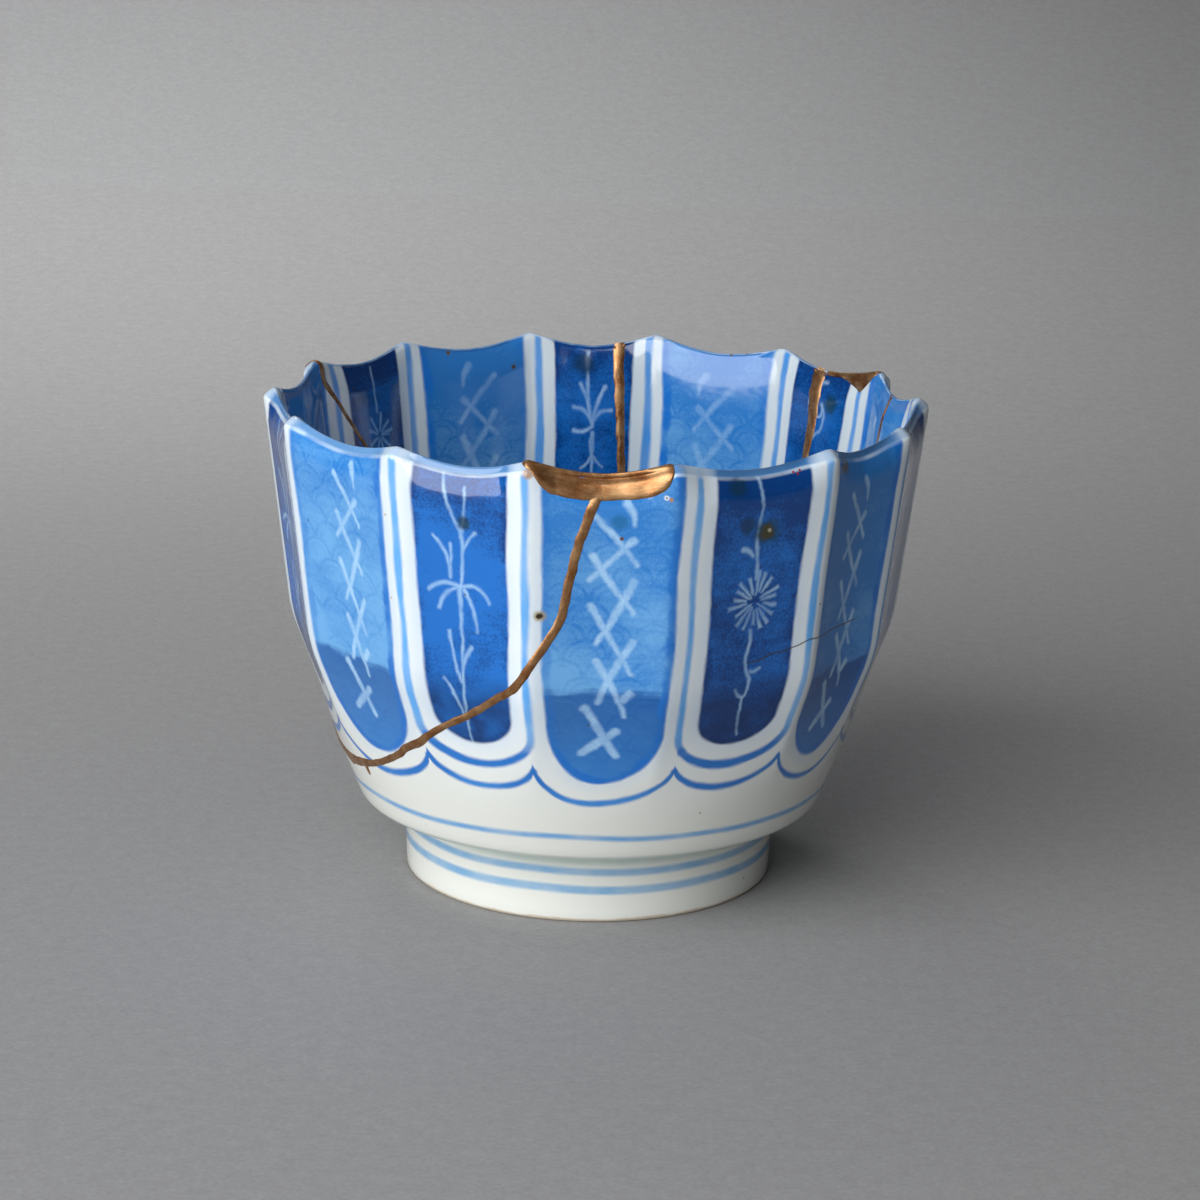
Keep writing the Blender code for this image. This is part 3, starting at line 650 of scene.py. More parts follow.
    for side, angle, markHeight, core, halo, coreColour, haloColour in marks:
        away = awayFrom(angle, markHeight, side) + ragged * halo
        colour = board.colour(colour, haloColour, away.soft(halo, halo * 0.35) * 0.85)
        if core:
            colour = board.colour(colour, coreColour, away.soft(core, core * 0.5))
    for angle, fleckHeight in redFlecks:
        colour = board.colour(colour, paint["red"], awayFrom(angle, fleckHeight, 1).soft(0.2, 0.1))
    first, bend, last = (panelCoordinate(angle, 1) + flutes["count"] for angle in hairline["angles"])
    startHeight, bendHeight, endHeight = hairline["heights"]
    crackHeight = (u.spread(first, bend, startHeight, bendHeight)
                   + u.spread(bend, last, 0.0, endHeight - bendHeight))
    crackHeight += board.noise(place, 0.3, 2.0).vary(-0.2, 0.2)
    crack = abs(z - crackHeight).soft(0.17, 0.03) * outside
    crack *= u.soft(first - 0.02, first + 0.03) * u.soft(last, last - 0.25)
    colour = board.colour(colour, hairline["colour"], crack * 0.8)
    cells = board.node("ShaderNodeTexVoronoi", place, feature="F1")
    cells.inputs["Scale"].default_value = 0.42
    rare = board.math("GREATER_THAN", board.parts(cells.outputs["Color"])[0], 0.93)
    speck = Value(board, cells.outputs["Distance"]).soft(0.09, 0.04) * rare
    colour = board.colour(colour, paint["speck"], speck * 0.6)

    # the foot's bare underside
    bareEdge = z + board.noise(place, 0.35, 2.0).vary(-0.12, 0.12)
    bare = bareEdge.soft(0.62, 0.34) * outside
    colour = board.colour(colour, board.colour(paint["foot"], paint["footPale"], speckle), bare)

    dips = board.noise(place, 0.28, 2.0) * 0.05 + board.noise(place, 2.2, 1.0) * 0.0035
    grain = board.noise(place, 9.0, 3.0) * (bare * 0.05)
    board.feed(result["Colour"], colour)
    board.feed(result["Bare"], bare)
    board.feed(result["Relief"], dips + grain - (speck + crack) * 0.02)
    return board.tree


underglazeTree = makeUnderglaze()


# Motifs, in mm from their panel's middle and up the wall: (from, to, bend, half width, taper)

crossChain = [
    ((1.5, 55.3), (2.3, 52.9), 0.1, 0.42, 0.4), ((-1.7, 53.9), (2.7, 48.1), 0.02, 0.36, 0.3),
    ((2.3, 51.1), (-2.1, 46.3), 0.0, 0.38, 0.35), ((-1.8, 49.1), (2.5, 42.4), -0.02, 0.4, 0.45),
    ((2.4, 46.2), (-1.2, 38.7), 0.02, 0.42, 0.3), ((-1.9, 43.2), (2.4, 35.0), 0.0, 0.4, 0.5),
    ((2.5, 38.9), (-0.9, 31.5), -0.03, 0.4, 0.2), ((-1.2, 36.5), (1.9, 29.7), 0.03, 0.42, 0.5),
    ((2.4, 32.7), (1.6, 31.8), 0.0, 0.4, 0.0), ((-2.2, 30.7), (1.2, 24.4), 0.0, 0.42, 0.1),
    ((1.1, 27.6), (-2.3, 24.9), 0.0, 0.42, -0.2),
]
orchid = [
    ((-2.5, 57.5), (-0.1, 51.0), -0.06, 0.14, -0.8), ((0.6, 56.0), (0.1, 51.5), 0.05, 0.16, 0.2),
    ((0.0, 51.2), (-0.1, 50.2), 0.0, 0.30, 0.3), ((0.0, 50.6), (-0.4, 44.5), 0.03, 0.20, 0.1),
    ((1.9, 50.9), (-0.1, 47.4), -0.12, 0.18, 0.2), ((-3.9, 50.2), (-1.8, 45.4), 0.12, 0.20, 0.1),
    ((-1.6, 49.3), (-1.8, 45.6), 0.02, 0.17, 0.1),
    ((-4.7, 43.7), (-0.6, 44.3), 0.16, 0.30, 0.35), ((-3.5, 41.6), (-1.0, 44.2), 0.14, 0.26, 0.35),
    ((3.5, 42.8), (-0.4, 44.3), -0.22, 0.24, 0.1), ((0.0, 44.0), (1.6, 39.0), 0.08, 0.26, 0.45),
    ((-0.6, 44.3), (-0.5, 37.2), 0.0, 0.34, 0.7), ((-2.3, 38.8), (-0.9, 32.6), -0.03, 0.17, 0.2),
    ((0.7, 37.0), (-0.7, 33.0), -0.10, 0.26, 0.5), ((-0.5, 37.2), (-0.8, 30.4), 0.0, 0.17, 0.3),
    ((-3.3, 33.0), (-1.2, 28.6), 0.04, 0.15, 0.2), ((-0.8, 30.4), (-0.3, 24.4), -0.03, 0.15, 0.5),
]
asterStem = [
    ((-0.6, 57.4), (-0.1, 53.0), 0.05, 0.15, 0.1), ((-0.1, 53.0), (-0.3, 49.4), -0.03, 0.15, -0.1),
    ((-0.3, 49.4), (0.1, 45.6), 0.03, 0.20, 0.1), ((-2.1, 49.2), (-0.7, 48.4), 0.1, 0.32, 0.3),
    ((0.0, 39.3), (-0.2, 36.4), 0.05, 0.17, 0.1), ((-0.2, 36.4), (0.5, 33.4), -0.1, 0.15, 0.0),
    ((0.5, 34.2), (1.8, 34.5), -0.1, 0.18, 0.3), ((0.5, 33.4), (0.0, 30.9), 0.08, 0.15, 0.0),
    ((0.0, 31.1), (-1.2, 32.0), 0.1, 0.18, 0.3), ((0.0, 30.9), (0.3, 26.2), -0.04, 0.14, 0.3),
]
vine = [
    ((0.3, 57.6), (-0.6, 52.6), 0.08, 0.18, 0.1), ((-0.6, 52.6), (0.7, 47.2), -0.12, 0.20, 0.0),
    ((0.7, 47.2), (-0.4, 41.6), 0.12, 0.20, 0.0), ((-0.4, 41.6), (0.5, 36.0), -0.1, 0.19, 0.1),
    ((0.5, 36.0), (-0.2, 27.0), 0.05, 0.18, 0.5), ((-0.5, 53.4), (-2.6, 55.0), 0.2, 0.30, 0.4),
    ((-0.3, 51.2), (2.4, 53.0), -0.2, 0.30, 0.4), ((0.5, 47.8), (3.0, 48.2), -0.2, 0.28, 0.4),
    ((0.3, 45.6), (-2.5, 46.9), 0.2, 0.30, 0.4), ((-0.3, 42.4), (2.4, 43.8), -0.2, 0.30, 0.4),
    ((-0.2, 40.2), (-2.8, 40.6), 0.2, 0.28, 0.4), ((0.3, 37.0), (2.3, 38.0), -0.2, 0.26, 0.4),
    ((0.2, 34.4), (-1.9, 35.4), 0.2, 0.26, 0.4), ((0.0, 31.4), (1.6, 32.6), -0.2, 0.24, 0.4),
]
fan = [
    ((0.9, 57.5), (0.5, 49.3), 0.02, 0.20, -0.2), ((-1.8, 53.0), (0.0, 48.6), 0.05, 0.26, 0.1),
    ((-2.8, 50.0), (0.2, 47.9), 0.2, 0.28, 0.1), ((2.9, 50.4), (0.1, 47.9), -0.2, 0.28, 0.1),
    ((1.9, 53.4), (0.2, 48.6), -0.06, 0.24, 0.1), ((2.9, 47.3), (0.2, 47.8), 0.12, 0.24, 0.1),
    ((0.0, 47.0), (-1.6, 42.6), 0.2, 0.22, 0.3), ((0.0, 47.0), (0.1, 39.4), 0.0, 0.24, 0.4),
    ((0.1, 46.8), (1.7, 42.4), -0.2, 0.20, 0.3), ((0.1, 39.4), (0.2, 33.0), 0.03, 0.17, 0.4),
]
curl = [
    ((-1.2, 57.0), (0.5, 54.8), 0.3, 0.24, 0.0), ((0.5, 54.8), (1.6, 53.2), 0.45, 0.26, 0.0),
    ((1.6, 53.2), (0.1, 52.6), 0.45, 0.28, 0.1), ((0.1, 52.6), (-1.0, 54.2), 0.4, 0.24, 0.1),
    ((-0.9, 54.2), (-1.2, 50.8), -0.2, 0.22, 0.0), ((-1.2, 50.8), (0.9, 47.6), 0.16, 0.24, 0.0),
    ((0.9, 47.6), (-0.6, 42.0), 0.14, 0.22, 0.3), ((-0.6, 42.0), (0.2, 33.0), -0.08, 0.18, 0.4),
]


farAway = 50.0  # mm from any stroke
glaze = {"ior": 1.6, "bump": 0.5, "roughness": 0.09, "bareRoughness": 0.75}


def addStrokes(board, place, strokes, before):
    for start, end, bend, width, taper in strokes:
        before = board.group(strokeTree, Place=place, From=(*start, 0.0), To=(*end, 0.0), Bend=bend,
                             Width=width, Taper=taper, Before=before)["Distance"]
    return before


def addBurst(board, place, centre, petals, inner, outer):  # a ring of uneven scratched petals
    x, y, _ = board.parts(board.vec("SUBTRACT", place, (*centre, 0.0)))
    span = board.length(board.xyz(x, y))
    turn = board.math("ARCTAN2", y, x) * (petals / math.tau)
    index = board.math("FLOOR", turn)
    stray, length, start = board.parts(board.random(index, out=1))
    middle = stray.spread(0.0, 1.0, 0.3, 0.7)
    sideways = abs(turn - index - middle) * (span * (math.tau / petals))
    tip = length.spread(0.0, 1.0, outer * 0.72, outer * 1.12)
    heel = start.spread(0.0, 1.0, inner * 0.6, inner * 1.7)
    widths = span.spread(inner, outer, 0.08, 0.2)
    return board.high(sideways - widths, board.high(heel - span, span - tip))


starStem = [((0.0, 57.5), (0.0, 52.0), 0.03, 0.17, 0.2)]
drawings = {  # strokes, burst (centre, petals, inner and outer radius), and the panel each is drawn for
    "crossed lattice": (crossChain, None, 0), "orchid": (orchid, None, 13),
    "aster": (asterStem, ((0.2, 42.8), 18, 0.75, 3.6), 1), "vine": (vine, None, 3), "fan": (fan, None, 7),
    "curl": (curl, None, 5), "star": (starStem, ((0.0, 49.0), 9, 0.4, 3.0), 9),
}
strays = {"sideways": 0.9, "up": 1.6, "lean": 0.05, "pivot": 40.0, "ripple": 0.5}


def drawMotif(board, strokes, burst, firstPanel):
    u, z, _ = board.unwrapped("paint")
    px, py, _ = board.parts(board.place())
    radius = board.length(board.xyz(px, py))
    panel = board.math("FLOOR", u)
    x = (u - panel - 0.5) * (radius * (math.tau / flutes["count"]))
    look = board.parts(board.attribute("look", "Vector"))
    x *= look[1]
    panel = board.math("MODULO", panel, float(flutes["count"]))

    # each panel's motif is placed a little differently, except the one it is drawn for
    away = board.math("GREATER_THAN", abs(panel - float(firstPanel)), 0.5)
    strayX, strayY, strayZ = (
        share.spread(0.0, 1.0, -strays[way], strays[way])
        for share, way in zip(board.parts(board.random(panel, out=1)), ("sideways", "up", "lean")))
    x += away * strayX
    z += away * strayY
    lean = (z - strays["pivot"]) * strayZ * away
    place = board.xyz(x + lean, z)
    ripple = board.vec("SUBTRACT", board.noise(place, 0.8, 2.0, out=1), (0.5, 0.5, 0.5))
    place = board.vec("ADD", place, board.grow(ripple, strays["ripple"]))
    placeX, placeY, _ = board.parts(place)
    place = board.xyz(placeX, placeY)
    return addStrokes(board, place, strokes, addBurst(board, place, *burst) if burst else farAway)


def glazeMaterial(name):
    material, board, shader = newMaterial(name + " glaze")
    motif = drawMotif(board, *drawings[name]) if name in drawings else farAway
    painting = board.group(underglazeTree, Motif=motif)
    board.feed(shader["Base Color"], painting["Colour"])
    board.feed(shader["Roughness"],
               painting["Bare"].spread(0.0, 1.0, glaze["roughness"], glaze["bareRoughness"]))
    board.feed(shader["Normal"], board.bump(painting["Relief"], glaze["bump"]))
    shader["IOR"].default_value = glaze["ior"]
    return material


motifs = {  # the dark panels' motifs, by panel
    1: {1: "aster", 3: "vine", 5: "orchid", 7: "aster", 9: "vine", 11: "orchid", 13: "orchid"},
    -1: {1: "star", 3: "curl", 5: "curl", 7: "fan", 9: "star", 11: "fan", 13: "star"},
}
washDepthAndShade = {  # how deep each panel's wash is, on each face of the wall: partly the cobalt's own depth, partly painted light and shade, paler on panels facing the key light and deeper on those turned away
    1: (0.45, 0.85, 1.0, 0.7, 0.5, 0.6, 0.4, 0.75, 0.5, 0.6, 0.45, 0.7, 0.0, 0.05),
    -1: (0.5, 0.7, 0.4, 0.6, 0.5, 0.65, 0.3, 0.65, 0.6, 1.0, 0.6, 0.6, 0.5, 0.7),
}
narrowMotifs = {(1, 12): 1.3, (1, 2): 1.15}
strengths = {(1, 0): 1.0, (1, 1): 1.0, (-1, 0): 0.45, (-1, 1): 0.75}  # of a motif, by face and darkness
paintedFrom = {1: 0.024, -1: 0.027}  # the lowest height that a motif reaches


def makePorcelain(glazes):
    bm = turnedOutline()
    reachLayer = bm.verts.layers.float.new("lipReach")
    chain = chainOf(bm)
    for vert, reach in zip(chain, wall.reaches):
        vert[reachLayer] = reach * 1000
    steps = flutes["count"] * cup["columnsPerFlute"]
    bmesh.ops.spin(bm, geom=list(bm.verts) + list(bm.edges), cent=(0, 0, 0), axis=(0, 0, 1), angle=math.tau,
                   steps=steps, use_merge=True, use_duplicate=False)
    bmesh.ops.remove_doubles(bm, verts=list(bm.verts), dist=1e-6)
    angles = {}
    for vert in bm.verts:
        radius = math.hypot(vert.co.x, vert.co.y)
        if radius < 1e-6:
            continue
        angle = math.degrees(math.atan2(vert.co.x, -vert.co.y))
        angles[vert] = angle
        vert.co = carved(radius, vert.co.z, angle, vert[reachLayer] / 1000)
    bmesh.ops.recalc_face_normals(bm, faces=list(bm.faces))

    names = list(glazes)
    paintLayer = bm.loops.layers.uv.new("paint")
    lookLayer = bm.faces.layers.float_vector.new("look")
    for face in bm.faces:
        centre = face.calc_center_median()
        side = 1 if sum(vert[reachLayer] for vert in face.verts) > 0 else -1
        angle = math.degrees(math.atan2(centre.x, -centre.y))
        for loop in face.loops:
            corner = angles.get(loop.vert, angle)
            corner += 360 * round((angle - corner) / 360)
            across = panelCoordinate(round(corner, 4), side) + flutes["count"]
            loop[paintLayer].uv = (across, loop.vert.co.z * 1000)
        panel = math.floor(panelCoordinate(angle, side)) % flutes["count"]
        motif = motifs[side][panel] if panel % 2 else "crossed lattice"
        strength = strengths[side, panel % 2]
        # each face's look holds its wash depth with painted light and shade, its motif's width and its
        # motif's strength
        face[lookLayer] = (washDepthAndShade[side][panel], narrowMotifs.get((side, panel), 1.0), strength)
        painted = centre.z > paintedFrom[side]
        face.material_index = names.index(motif if painted else "plain")
    print("porcelain:", len(bm.faces), "faces")
    return finishMesh(bm, "porcelainCup", [glazes[name] for name in names])


glazes = {name: glazeMaterial(name) for name in ("plain", *drawings)}
porcelain = makePorcelain(glazes)
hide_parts("cup_body")
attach(porcelain, "root")


# Gold lacquer

gold = {
    "shade": (0.29, 0.115, 0.038, 1), "bright": (0.60, 0.38, 0.185, 1), "lacquer": (0.085, 0.032, 0.014, 1),
    "metallic": 0.8, "roughness": (0.22, 0.36), "bump": 0.6, "sink": 0.00007, "wall": 0.00035,
}
seam = {
    "width": 0.00124, "proud": 0.00014, "step": 0.0005, "across": 8, "smoothing": 3, "stray": 0.00010,
    "uneven": 0.11,
}
# Seams as (angle, height in % of the cup's, width share) on each face of the wall they cross
seams = {
    "sherd_seam": [[
        (1, [
            (0.7, 94.4, 1.15), (-2.0, 85.8, 1.05), (-4.2, 75.8, 1.0), (-5.2, 69.2, 1.0), (-9.0, 62.0, 0.95),
            (-13.3, 55.0, 0.95), (-18.7, 50.7, 0.9), (-24.8, 46.5, 0.9), (-30.8, 43.2, 0.85),
            (-35.2, 39.7, 1.0),
            (-40.5, 37.0, 1.0), (-45.0, 33.8, 0.9), (-50.0, 31.5, 0.85), (-56.7, 29.6, 0.95),
            (-62.0, 28.4, 1.3),
            (-69.0, 27.6, 1.8), (-76.0, 28.0, 1.3), (-84.0, 30.3, 0.9), (-94.0, 34.2, 0.85),
            (-103.0, 40.8, 0.85),
            (-108.5, 51.7, 0.85), (-111.0, 65.0, 0.85), (-113.5, 80.0, 0.9), (-114.2, 94.2, 1.1),
        ]),
        (-1, [
            (-114.6, 95.0, 1.0), (-117.5, 91.0, 0.6), (-121.5, 84.2, 0.55), (-125.6, 77.5, 0.55),
            (-127.0, 66.7, 0.6), (-121.0, 53.3, 0.7), (-108.0, 43.3, 0.8), (-92.0, 36.7, 0.8),
            (-74.0, 32.7, 0.8),
            (-56.0, 34.3, 0.8), (-38.0, 40.7, 0.8), (-22.0, 49.3, 0.8), (-11.0, 60.0, 0.8),
            (-5.0, 72.5, 0.85),
            (-1.0, 85.0, 0.9), (0.6, 94.4, 1.0),
        ]),
    ], [
        (1, [(-58.5, 29.3, 1.0), (-58.5, 27.7, 0.8), (-58.0, 26.6, 0.5)]),
    ]],
    "back_seam": [[
        (-1, [(173.4, 36.7, 0.5), (172.6, 50.0, 0.8), (174.6, 70.0, 1.0), (175.3, 83.3, 1.15),
        (175.9, 95.8, 1.4)]),
        (1, [(175.9, 95.0, 1.3), (175.0, 78.3, 0.9), (171.5, 61.7, 0.85), (166.0, 49.2, 0.8),
        (158.5, 40.8, 0.7)]),
    ]],
    "right_seam": [[
        (-1, [(134.0, 50.0, 0.5), (131.6, 63.3, 0.8), (130.6, 78.3, 1.15), (130.3, 86.7, 1.6),
        (130.9, 95.8, 2.1)]),
        (1, [(130.9, 95.0, 1.8), (131.8, 81.7, 0.9), (136.5, 64.2, 0.85), (144.0, 50.0, 0.8),
        (152.0, 42.7, 0.7)]),
    ]],
    "short_seam": [[
        (-1, [(105.4, 78.3, 0.3), (105.0, 87.5, 0.4), (104.4, 96.0, 0.5)]),
        (1, [(104.0, 95.7, 0.5), (103.2, 86.7, 0.45), (104.0, 75.0, 0.3)]),
    ]],
}


def makeGoldMaterial():
    material, board, shader = newMaterial("gold lacquer")
    place = board.place()
    u, v, _ = board.unwrapped("brush")
    edge = board.attribute("fromEdge")
    clouds = board.noise(place, 0.5, 3.0)
    strokes = board.noise(board.xyz(u * 0.8, v * 4.0), 1.0, 3.0)
    grains = board.noise(place, 14.0, 3.0)
    shine = clouds.vary(-0.15, 0.5) + strokes.vary(-0.12, 0.28)
    shine += grains.spread(0.4, 0.65, 0.12, -0.1)
    powder = board.colour(gold["shade"], gold["bright"], shine.clamped())
    powder = board.colour(powder, gold["lacquer"], grains.soft(0.6, 0.72) * 0.45)
    # dark lacquer where the gold thins at the edges, also standing in as painted shade along the bead's edge
    worn = (edge + clouds.vary(-0.05, 0.07)).soft(0.17, 0.02)
    board.feed(shader["Base Color"], board.colour(powder, gold["lacquer"], worn))
    board.feed(shader["Metallic"], worn.spread(0.0, 1.0, gold["metallic"], 0.1))
    low, high = gold["roughness"]
    board.feed(shader["Roughness"], clouds.vary(low, high) + grains.spread(0.4, 0.7, -0.03, 0.08))
    relief = strokes * 0.03 + grains * 0.02
    board.feed(shader["Normal"], board.bump(relief, gold["bump"]))
    return material


goldMaterial = makeGoldMaterial()


def seamPath(runs):  # evenly spaced (angle, reach, width share), with the corners eased
    stations = [(angle, wall.reachAt(angle, height / 100 * cup["height"], side), share)
                for side, chain in runs for angle, height, share in chain]
    path = []
    for before, after in zip(stations, stations[1:]):
        length = math.hypot(math.radians(after[0] - before[0]) * cup["shoulder"][0], after[1] - before[1])
        steps = max(1, round(length / seam["step"]))
        path += [tuple(mixed(a, b, i / steps) for a, b in zip(before, after)) for i in range(steps)]
    path.append(stations[-1])
    for _ in range(seam["smoothing"]):
        path[1:-1] = [tuple((a + b + c) / 3 for a, b, c in zip(*around))
                      for around in zip(path, path[1:], path[2:])]
    return path


def addSeam(bm, runs, seed):
    path = seamPath(runs)
    grid = bmesh.ops.create_grid(bm, x_segments=len(path) - 1, y_segments=seam["across"], size=0.5)["verts"]
    brushLayer = bm.loops.layers.uv["brush"]
    edgeLayer = bm.verts.layers.float["fromEdge"]
    count = len(path) - 1
    middles = [wall.surface(angle, reach) for angle, reach, _ in path]
    flat = {}
    for vert in grid:
        i = round((vert.co.x + 0.5) * count)
        across = vert.co.y * 2
        angle, reach, share = path[i]
        normal = wall.normal(angle, reach)
        along = (middles[min(i + 1, count)] - middles[max(i - 1, 0)]).normalized()
        sideways = along.cross(normal).normalized()
        run = i * seam["step"] * 1000
        half = share * seam["width"] / 2
        half *= 1 + seam["uneven"] * noise.noise(Vector((run * 0.9, across * 0.6, seed))) * 2
        fromEnd = min(i, count - i) * seam["step"] / half
        half *= math.sqrt(min(1.0, 0.15 + fromEnd))
        stray = seam["stray"] * noise.noise(Vector((run * 0.35, 0.0, seed + 7.3)))
        up = seam["proud"] * (1 - across * across) ** 0.75
        up *= 1 + 0.3 * noise.noise(Vector((run * 0.5, across, seed)))
        up = min(up, seam["proud"]) - gold["sink"] * abs(across) ** 3
        flat[vert] = (run, across * half * 1000)
        vert[edgeLayer] = (1 - abs(across)) * half * 1000
        # the bead follows the wall's own surface on both sides of its middle
        roundCup = Vector((math.cos(math.radians(angle)), math.sin(math.radians(angle)), 0.0))
        turn = math.degrees(sideways.dot(roundCup) / max(middles[i].xy.length, 0.01))
        ahead = wall.surface(angle, reach + 0.0001) - wall.surface(angle, reach - 0.0001)
        down = sideways.dot(ahead.normalized())
        shift = across * half + stray
        vert.co = wall.surface(angle + turn * shift, reach + down * shift) + normal * up
    for vert in grid:
        for loop in vert.link_loops:
            loop[brushLayer].uv = flat[vert]
    angle, reach, _ = path[count // 2]
    faceOut(bm, grid, middles[count // 2], wall.normal(angle, reach))


def newSheet():
    bm = bmesh.new()
    bm.loops.layers.uv.new("brush")
    bm.verts.layers.float.new("fromEdge")
    return bm


def faceOut(bm, verts, middle, outward):  # turns a new sheet's faces to the side that its wall faces
    faces = {face for vert in verts for face in vert.link_faces}
    nearest = min(faces, key=lambda face: (face.calc_center_median() - middle).length)
    nearest.normal_update()
    if nearest.normal.dot(outward) < 0:
        bmesh.ops.reverse_faces(bm, faces=list(faces))


def finishGold(bm, node):
    piece = finishMesh(bm, node + "_gold", [goldMaterial], 60)
    thicken = piece.modifiers.new("lacquer's thickness", "SOLIDIFY")
    thicken.thickness = gold["wall"]
    thicken.offset = -1
    thicken.use_even_offset = False
    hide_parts(node)
    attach(piece, "root")
    return piece


for node, branches in seams.items():
    bm = newSheet()
    for seed, runs in enumerate(branches):
        addSeam(bm, runs, seed * 3.7 + len(node))
    finishGold(bm, node)
print("seams:", len(seams))

fill = {
    "columns": 110, "rows": 34, "proud": 0.00022, "shoulder": 0.0009, "uneven": 0.00007,
    "ragged": 0.00012, "easing": (-0.4, -0.2, 0.0, 0.2, 0.4),
    "front": {
        "angle": 1.2, "left": -0.0094, "right": 0.0082,
        # angle and height of its lower edge
        "edge": ((-12.6, 0.0598), (-11.4, 0.0594), (-10.2, 0.0591), (-9.5, 0.0583), (-8.8, 0.0573),
        (-7.4, 0.0564),
                 (-5.0, 0.0559), (0.9, 0.0555), (6.7, 0.0558), (9.8, 0.0562), (11.5, 0.0569), (12.4, 0.0579),
                 (12.9, 0.0597)),
    },
    "rear": {"angle": 120.0, "before": 0.0040, "apex": -0.0013, "depth": 0.0033, "line": (124.2, 128.6),
             "drop": 0.0005},
}


def frontDrop(x, angle):  # how far below the cup's height the front fill reaches
    edge = fill["front"]["edge"]
    total = 0.0
    for nearby in fill["easing"]:
        turn = min(max(angle + nearby, edge[0][0]), edge[-1][0] - 0.001)
        i = bisect.bisect_right(edge, (turn, 1.0)) - 1
        (before, low), (after, high) = edge[i], edge[i + 1]
        total += cup["height"] - mixed(low, high, (turn - before) / (after - before))
    return total / len(fill["easing"])


def rearDrop(x, angle):
    rear = fill["rear"]
    crest = cup["height"] - wall.surface(angle, 0.0).z + rear["drop"]
    lineStart = cup["lipRadius"] * math.sin(math.radians(rear["line"][0] - rear["angle"]))
    if x < rear["apex"]:
        return mixed(rear["drop"], rear["depth"], (x + rear["before"]) / (rear["apex"] + rear["before"]))
    if x < lineStart:
        return mixed(rear["depth"], crest, (x - rear["apex"]) / (lineStart - rear["apex"]))
    return crest


def addFill(bm, angle, left, right, dropAt, seed):
    columns, rows = fill["columns"], fill["rows"]
    grid = bmesh.ops.create_grid(bm, x_segments=columns, y_segments=rows, size=0.5)["verts"]
    brushLayer = bm.loops.layers.uv["brush"]
    edgeLayer = bm.verts.layers.float["fromEdge"]
    limits = []
    for i in range(columns + 1):
        x = mixed(left, right, i / columns)
        turn = angle + math.degrees(math.asin(x / cup["lipRadius"]))
        bottom = cup["height"] - dropAt(x, turn)
        limits.append((x, turn, wall.reachAt(turn, bottom, -1), wall.reachAt(turn, bottom, 1)))
    flat = {}
    for vert in grid:
        i = round((vert.co.x + 0.5) * columns)
        j = vert.co.y + 0.5
        x, turn, inner, outer = limits[i]
        reach = mixed(inner, outer, j)
        ragged = fill["ragged"] * noise.noise(Vector((x * 700, j * 2, seed)))
        fromEdge = min((reach - inner), (outer - reach), (x - left) * 1.2, (right - x) * 1.2)
        share = min(fromEdge / fill["shoulder"], 1.0)
        up = fill["proud"] * math.sqrt(max(share * (2 - share), 0.0))
        up += fill["uneven"] * share * (noise.noise(Vector((x * 420, reach * 420, seed))) - 0.3)
        up = min(up, fill["proud"]) - gold["sink"] * (1 - share)
        flat[vert] = (x * 1000, reach * 1000)
        vert[edgeLayer] = fromEdge * 1000
        edgeShare = 2 * j - 1
        vert.co = wall.surface(turn, reach + ragged * edgeShare) + wall.normal(turn, reach) * up
    for vert in grid:
        for loop in vert.link_loops:
            loop[brushLayer].uv = flat[vert]
    _, turn, _, outer = limits[columns // 2]
    faceOut(bm, grid, wall.surface(turn, outer / 2), wall.normal(turn, outer / 2))


def widestOpen(angle, left, right, dropAt):  # the stretch where the fill reaches below the lip's crest
    def isOpen(x):
        turn = angle + math.degrees(math.asin(x / cup["lipRadius"]))
        return cup["height"] - dropAt(x, turn) < wall.surface(turn, 0.0).z - 0.0001
    while not isOpen(left):
        left += 0.00005
    while not isOpen(right):
        right -= 0.00005
    return left, right


def makeFills():
    front = fill["front"]
    rear = fill["rear"]
    lineEnd = cup["lipRadius"] * math.sin(math.radians(rear["line"][1] - rear["angle"]))
    for node, angle, left, right, dropAt in (
            ("front_rim_fill", front["angle"], front["left"], front["right"], frontDrop),
            ("rear_rim_fill", rear["angle"], -rear["before"], lineEnd, rearDrop)):
        left, right = widestOpen(angle, left, right, dropAt)
        bm = newSheet()
        addFill(bm, angle, left, right, dropAt, angle)
        finishGold(bm, node)


makeFills()
print("fills: 2")


# Stage

stage = {
    "floor": 6.0, "sweepStart": 0.20, "sweepRadius": 0.8, "wall": 3.0, "shade": (0.325, 0.325, 0.328, 1),
    "roughness": 0.85, "mottle": 0.8, "air": (0.5, 0.5, 0.52, 1), "airStrength": 0.12,
}
view = {
    "distance": 0.4141, "elevation": 15.23, "roll": 1.23, "target": (0.00087, 0.0, 0.03377),
    "lens": 100.8, "sensor": 36.0,
}
lamps = {  # angles as seen from the cup, and where each lamp points
    "key": {"azimuth": -37, "elevation": 28, "distance": 0.62, "size": (0.70, 0.64), "power": 6.1,
            "target": (0.0, 0.0, 0.03)},
    "ceiling": {"azimuth": 0, "elevation": 89, "distance": 1.6, "size": (2.0, 2.0), "power": 3.6,
                "target": (0.0, 0.0, 0.0)},
    "backdrop": {"azimuth": -160, "elevation": 38, "distance": 1.25, "size": (0.45, 0.45), "power": 0.85,
                 "target": (-0.15, 0.48, 0.03), "spread": 30},
}


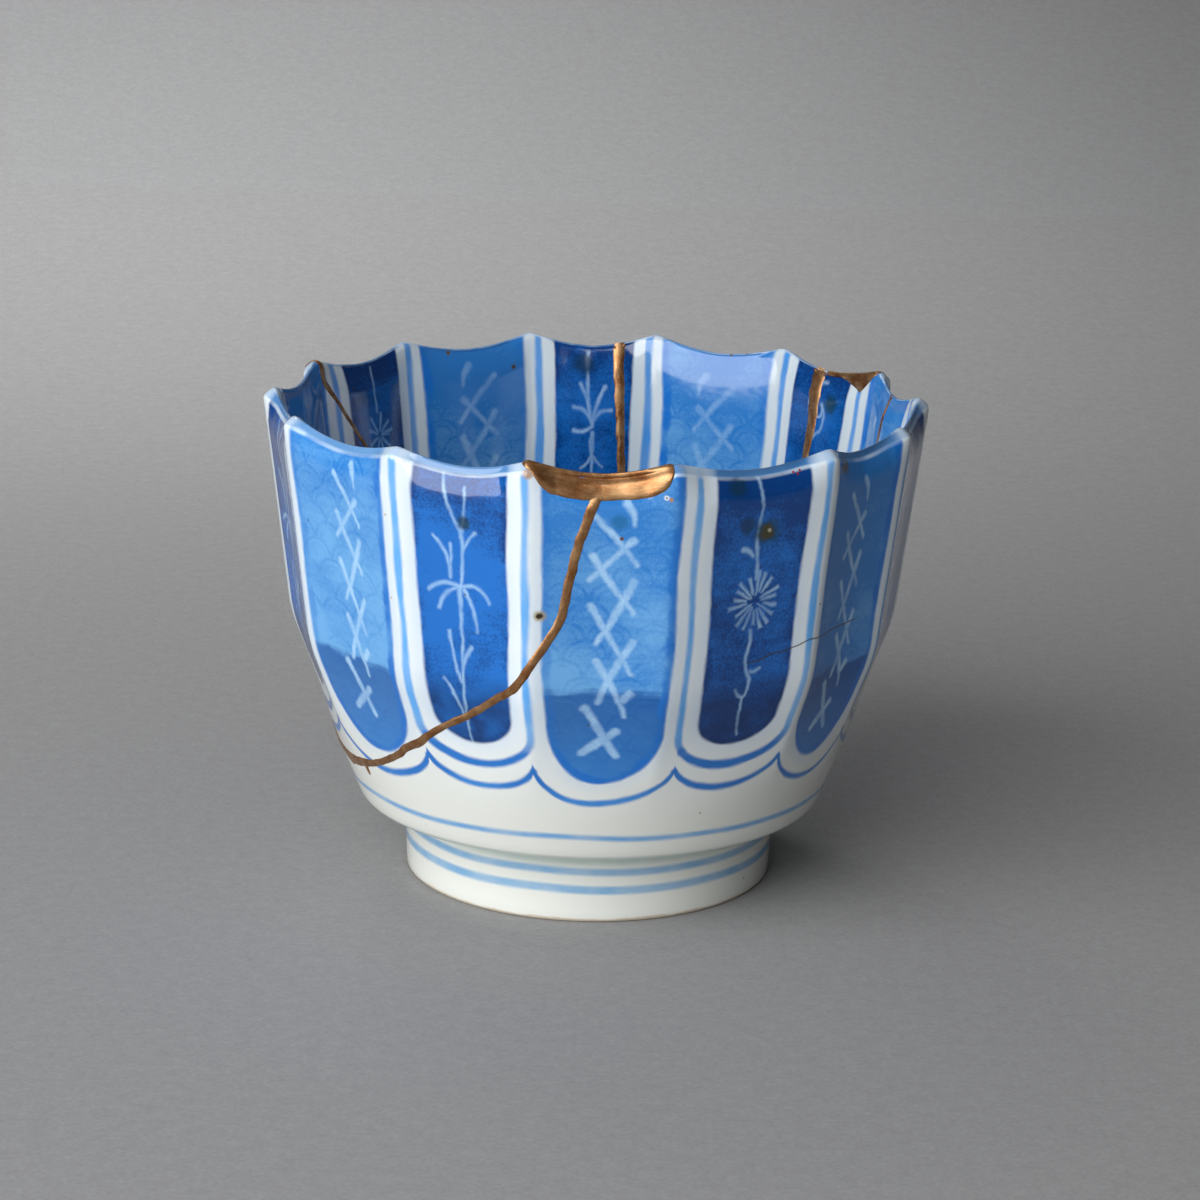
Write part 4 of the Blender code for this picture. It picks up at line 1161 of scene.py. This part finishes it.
def makeStage():
    bm = bmesh.new()
    half = stage["floor"] / 2
    start = stage["sweepStart"]
    edge = [bm.verts.new((-half, y, 0)) for y in (-half, start)]
    bm.edges.new(edge)
    turned = bmesh.ops.spin(bm, geom=[edge[1]], cent=(-half, start, stage["sweepRadius"]), axis=(1, 0, 0),
                            angle=math.radians(90), steps=32, use_merge=False)
    top = next(item for item in turned["geom_last"] if isinstance(item, bmesh.types.BMVert))
    lifted = bmesh.ops.extrude_vert_indiv(bm, verts=[top])["verts"]
    bmesh.ops.translate(bm, verts=lifted, vec=(0, 0, stage["wall"]))
    sides = bmesh.ops.extrude_edge_only(bm, edges=list(bm.edges))["geom"]
    bmesh.ops.translate(bm, verts=[item for item in sides if isinstance(item, bmesh.types.BMVert)],
                        vec=(stage["floor"], 0, 0))
    bmesh.ops.recalc_face_normals(bm, faces=list(bm.faces))
    material, board, shader = newMaterial("grey paper")
    place = board.place()
    mottle = board.noise(place, 0.5, 3.0) * 0.4 + board.noise(place, 1.7, 2.0) * 0.6
    shade = stage["shade"]
    darker = tuple(value * stage["mottle"] for value in shade[:3]) + (1,)
    board.feed(shader["Base Color"], board.colour(darker, shade, mottle.vary(0.0, 1.0)))
    shader["Roughness"].default_value = stage["roughness"]
    floor = finishMesh(bm, "sweep", [material])


def fromAngles(azimuth, elevation, distance):
    turn, rise = math.radians(azimuth), math.radians(elevation)
    flat = Vector((math.sin(turn), -math.cos(turn), 0.0)) * math.cos(rise)
    return (flat + Vector((0.0, 0.0, math.sin(rise)))) * distance


def makeLamps():
    for name, lamp in lamps.items():
        light = bpy.data.lights.new(name, "AREA")
        light.shape = "RECTANGLE"
        light.size, light.size_y = lamp["size"]
        light.energy = lamp["power"]
        light.spread = math.radians(lamp.get("spread", 180))
        holder = bpy.data.objects.new(name, light)
        place = fromAngles(lamp["azimuth"], lamp["elevation"], lamp["distance"])
        away = place - Vector(lamp["target"])
        holder.matrix_world = Matrix.Translation(place) @ away.to_track_quat("Z", "Y").to_matrix().to_4x4()
        bpy.context.scene.collection.objects.link(holder)
    world = bpy.data.worlds.new("dim room")
    world.use_nodes = True
    air = world.node_tree.nodes["Background"].inputs
    air["Color"].default_value = stage["air"]
    air["Strength"].default_value = stage["airStrength"]
    bpy.context.scene.world = world


def makeCamera():
    camera = bpy.data.cameras.new("camera")
    camera.lens = view["lens"]
    camera.sensor_width = view["sensor"]
    camera.sensor_fit = "HORIZONTAL"
    camera.clip_start = 0.01
    holder = bpy.data.objects.new("camera", camera)
    bpy.context.scene.collection.objects.link(holder)
    away = fromAngles(0, view["elevation"], view["distance"])
    rolled = Matrix.Rotation(math.radians(view["roll"]), 4, "Z")
    turned = away.to_track_quat("Z", "Y").to_matrix().to_4x4() @ rolled
    holder.matrix_world = Matrix.Translation(Vector(view["target"]) + away) @ turned
    bpy.context.scene.camera = holder


makeStage()
makeLamps()
makeCamera()
bpy.context.scene.view_settings.view_transform = "Standard"
print("stage and camera")
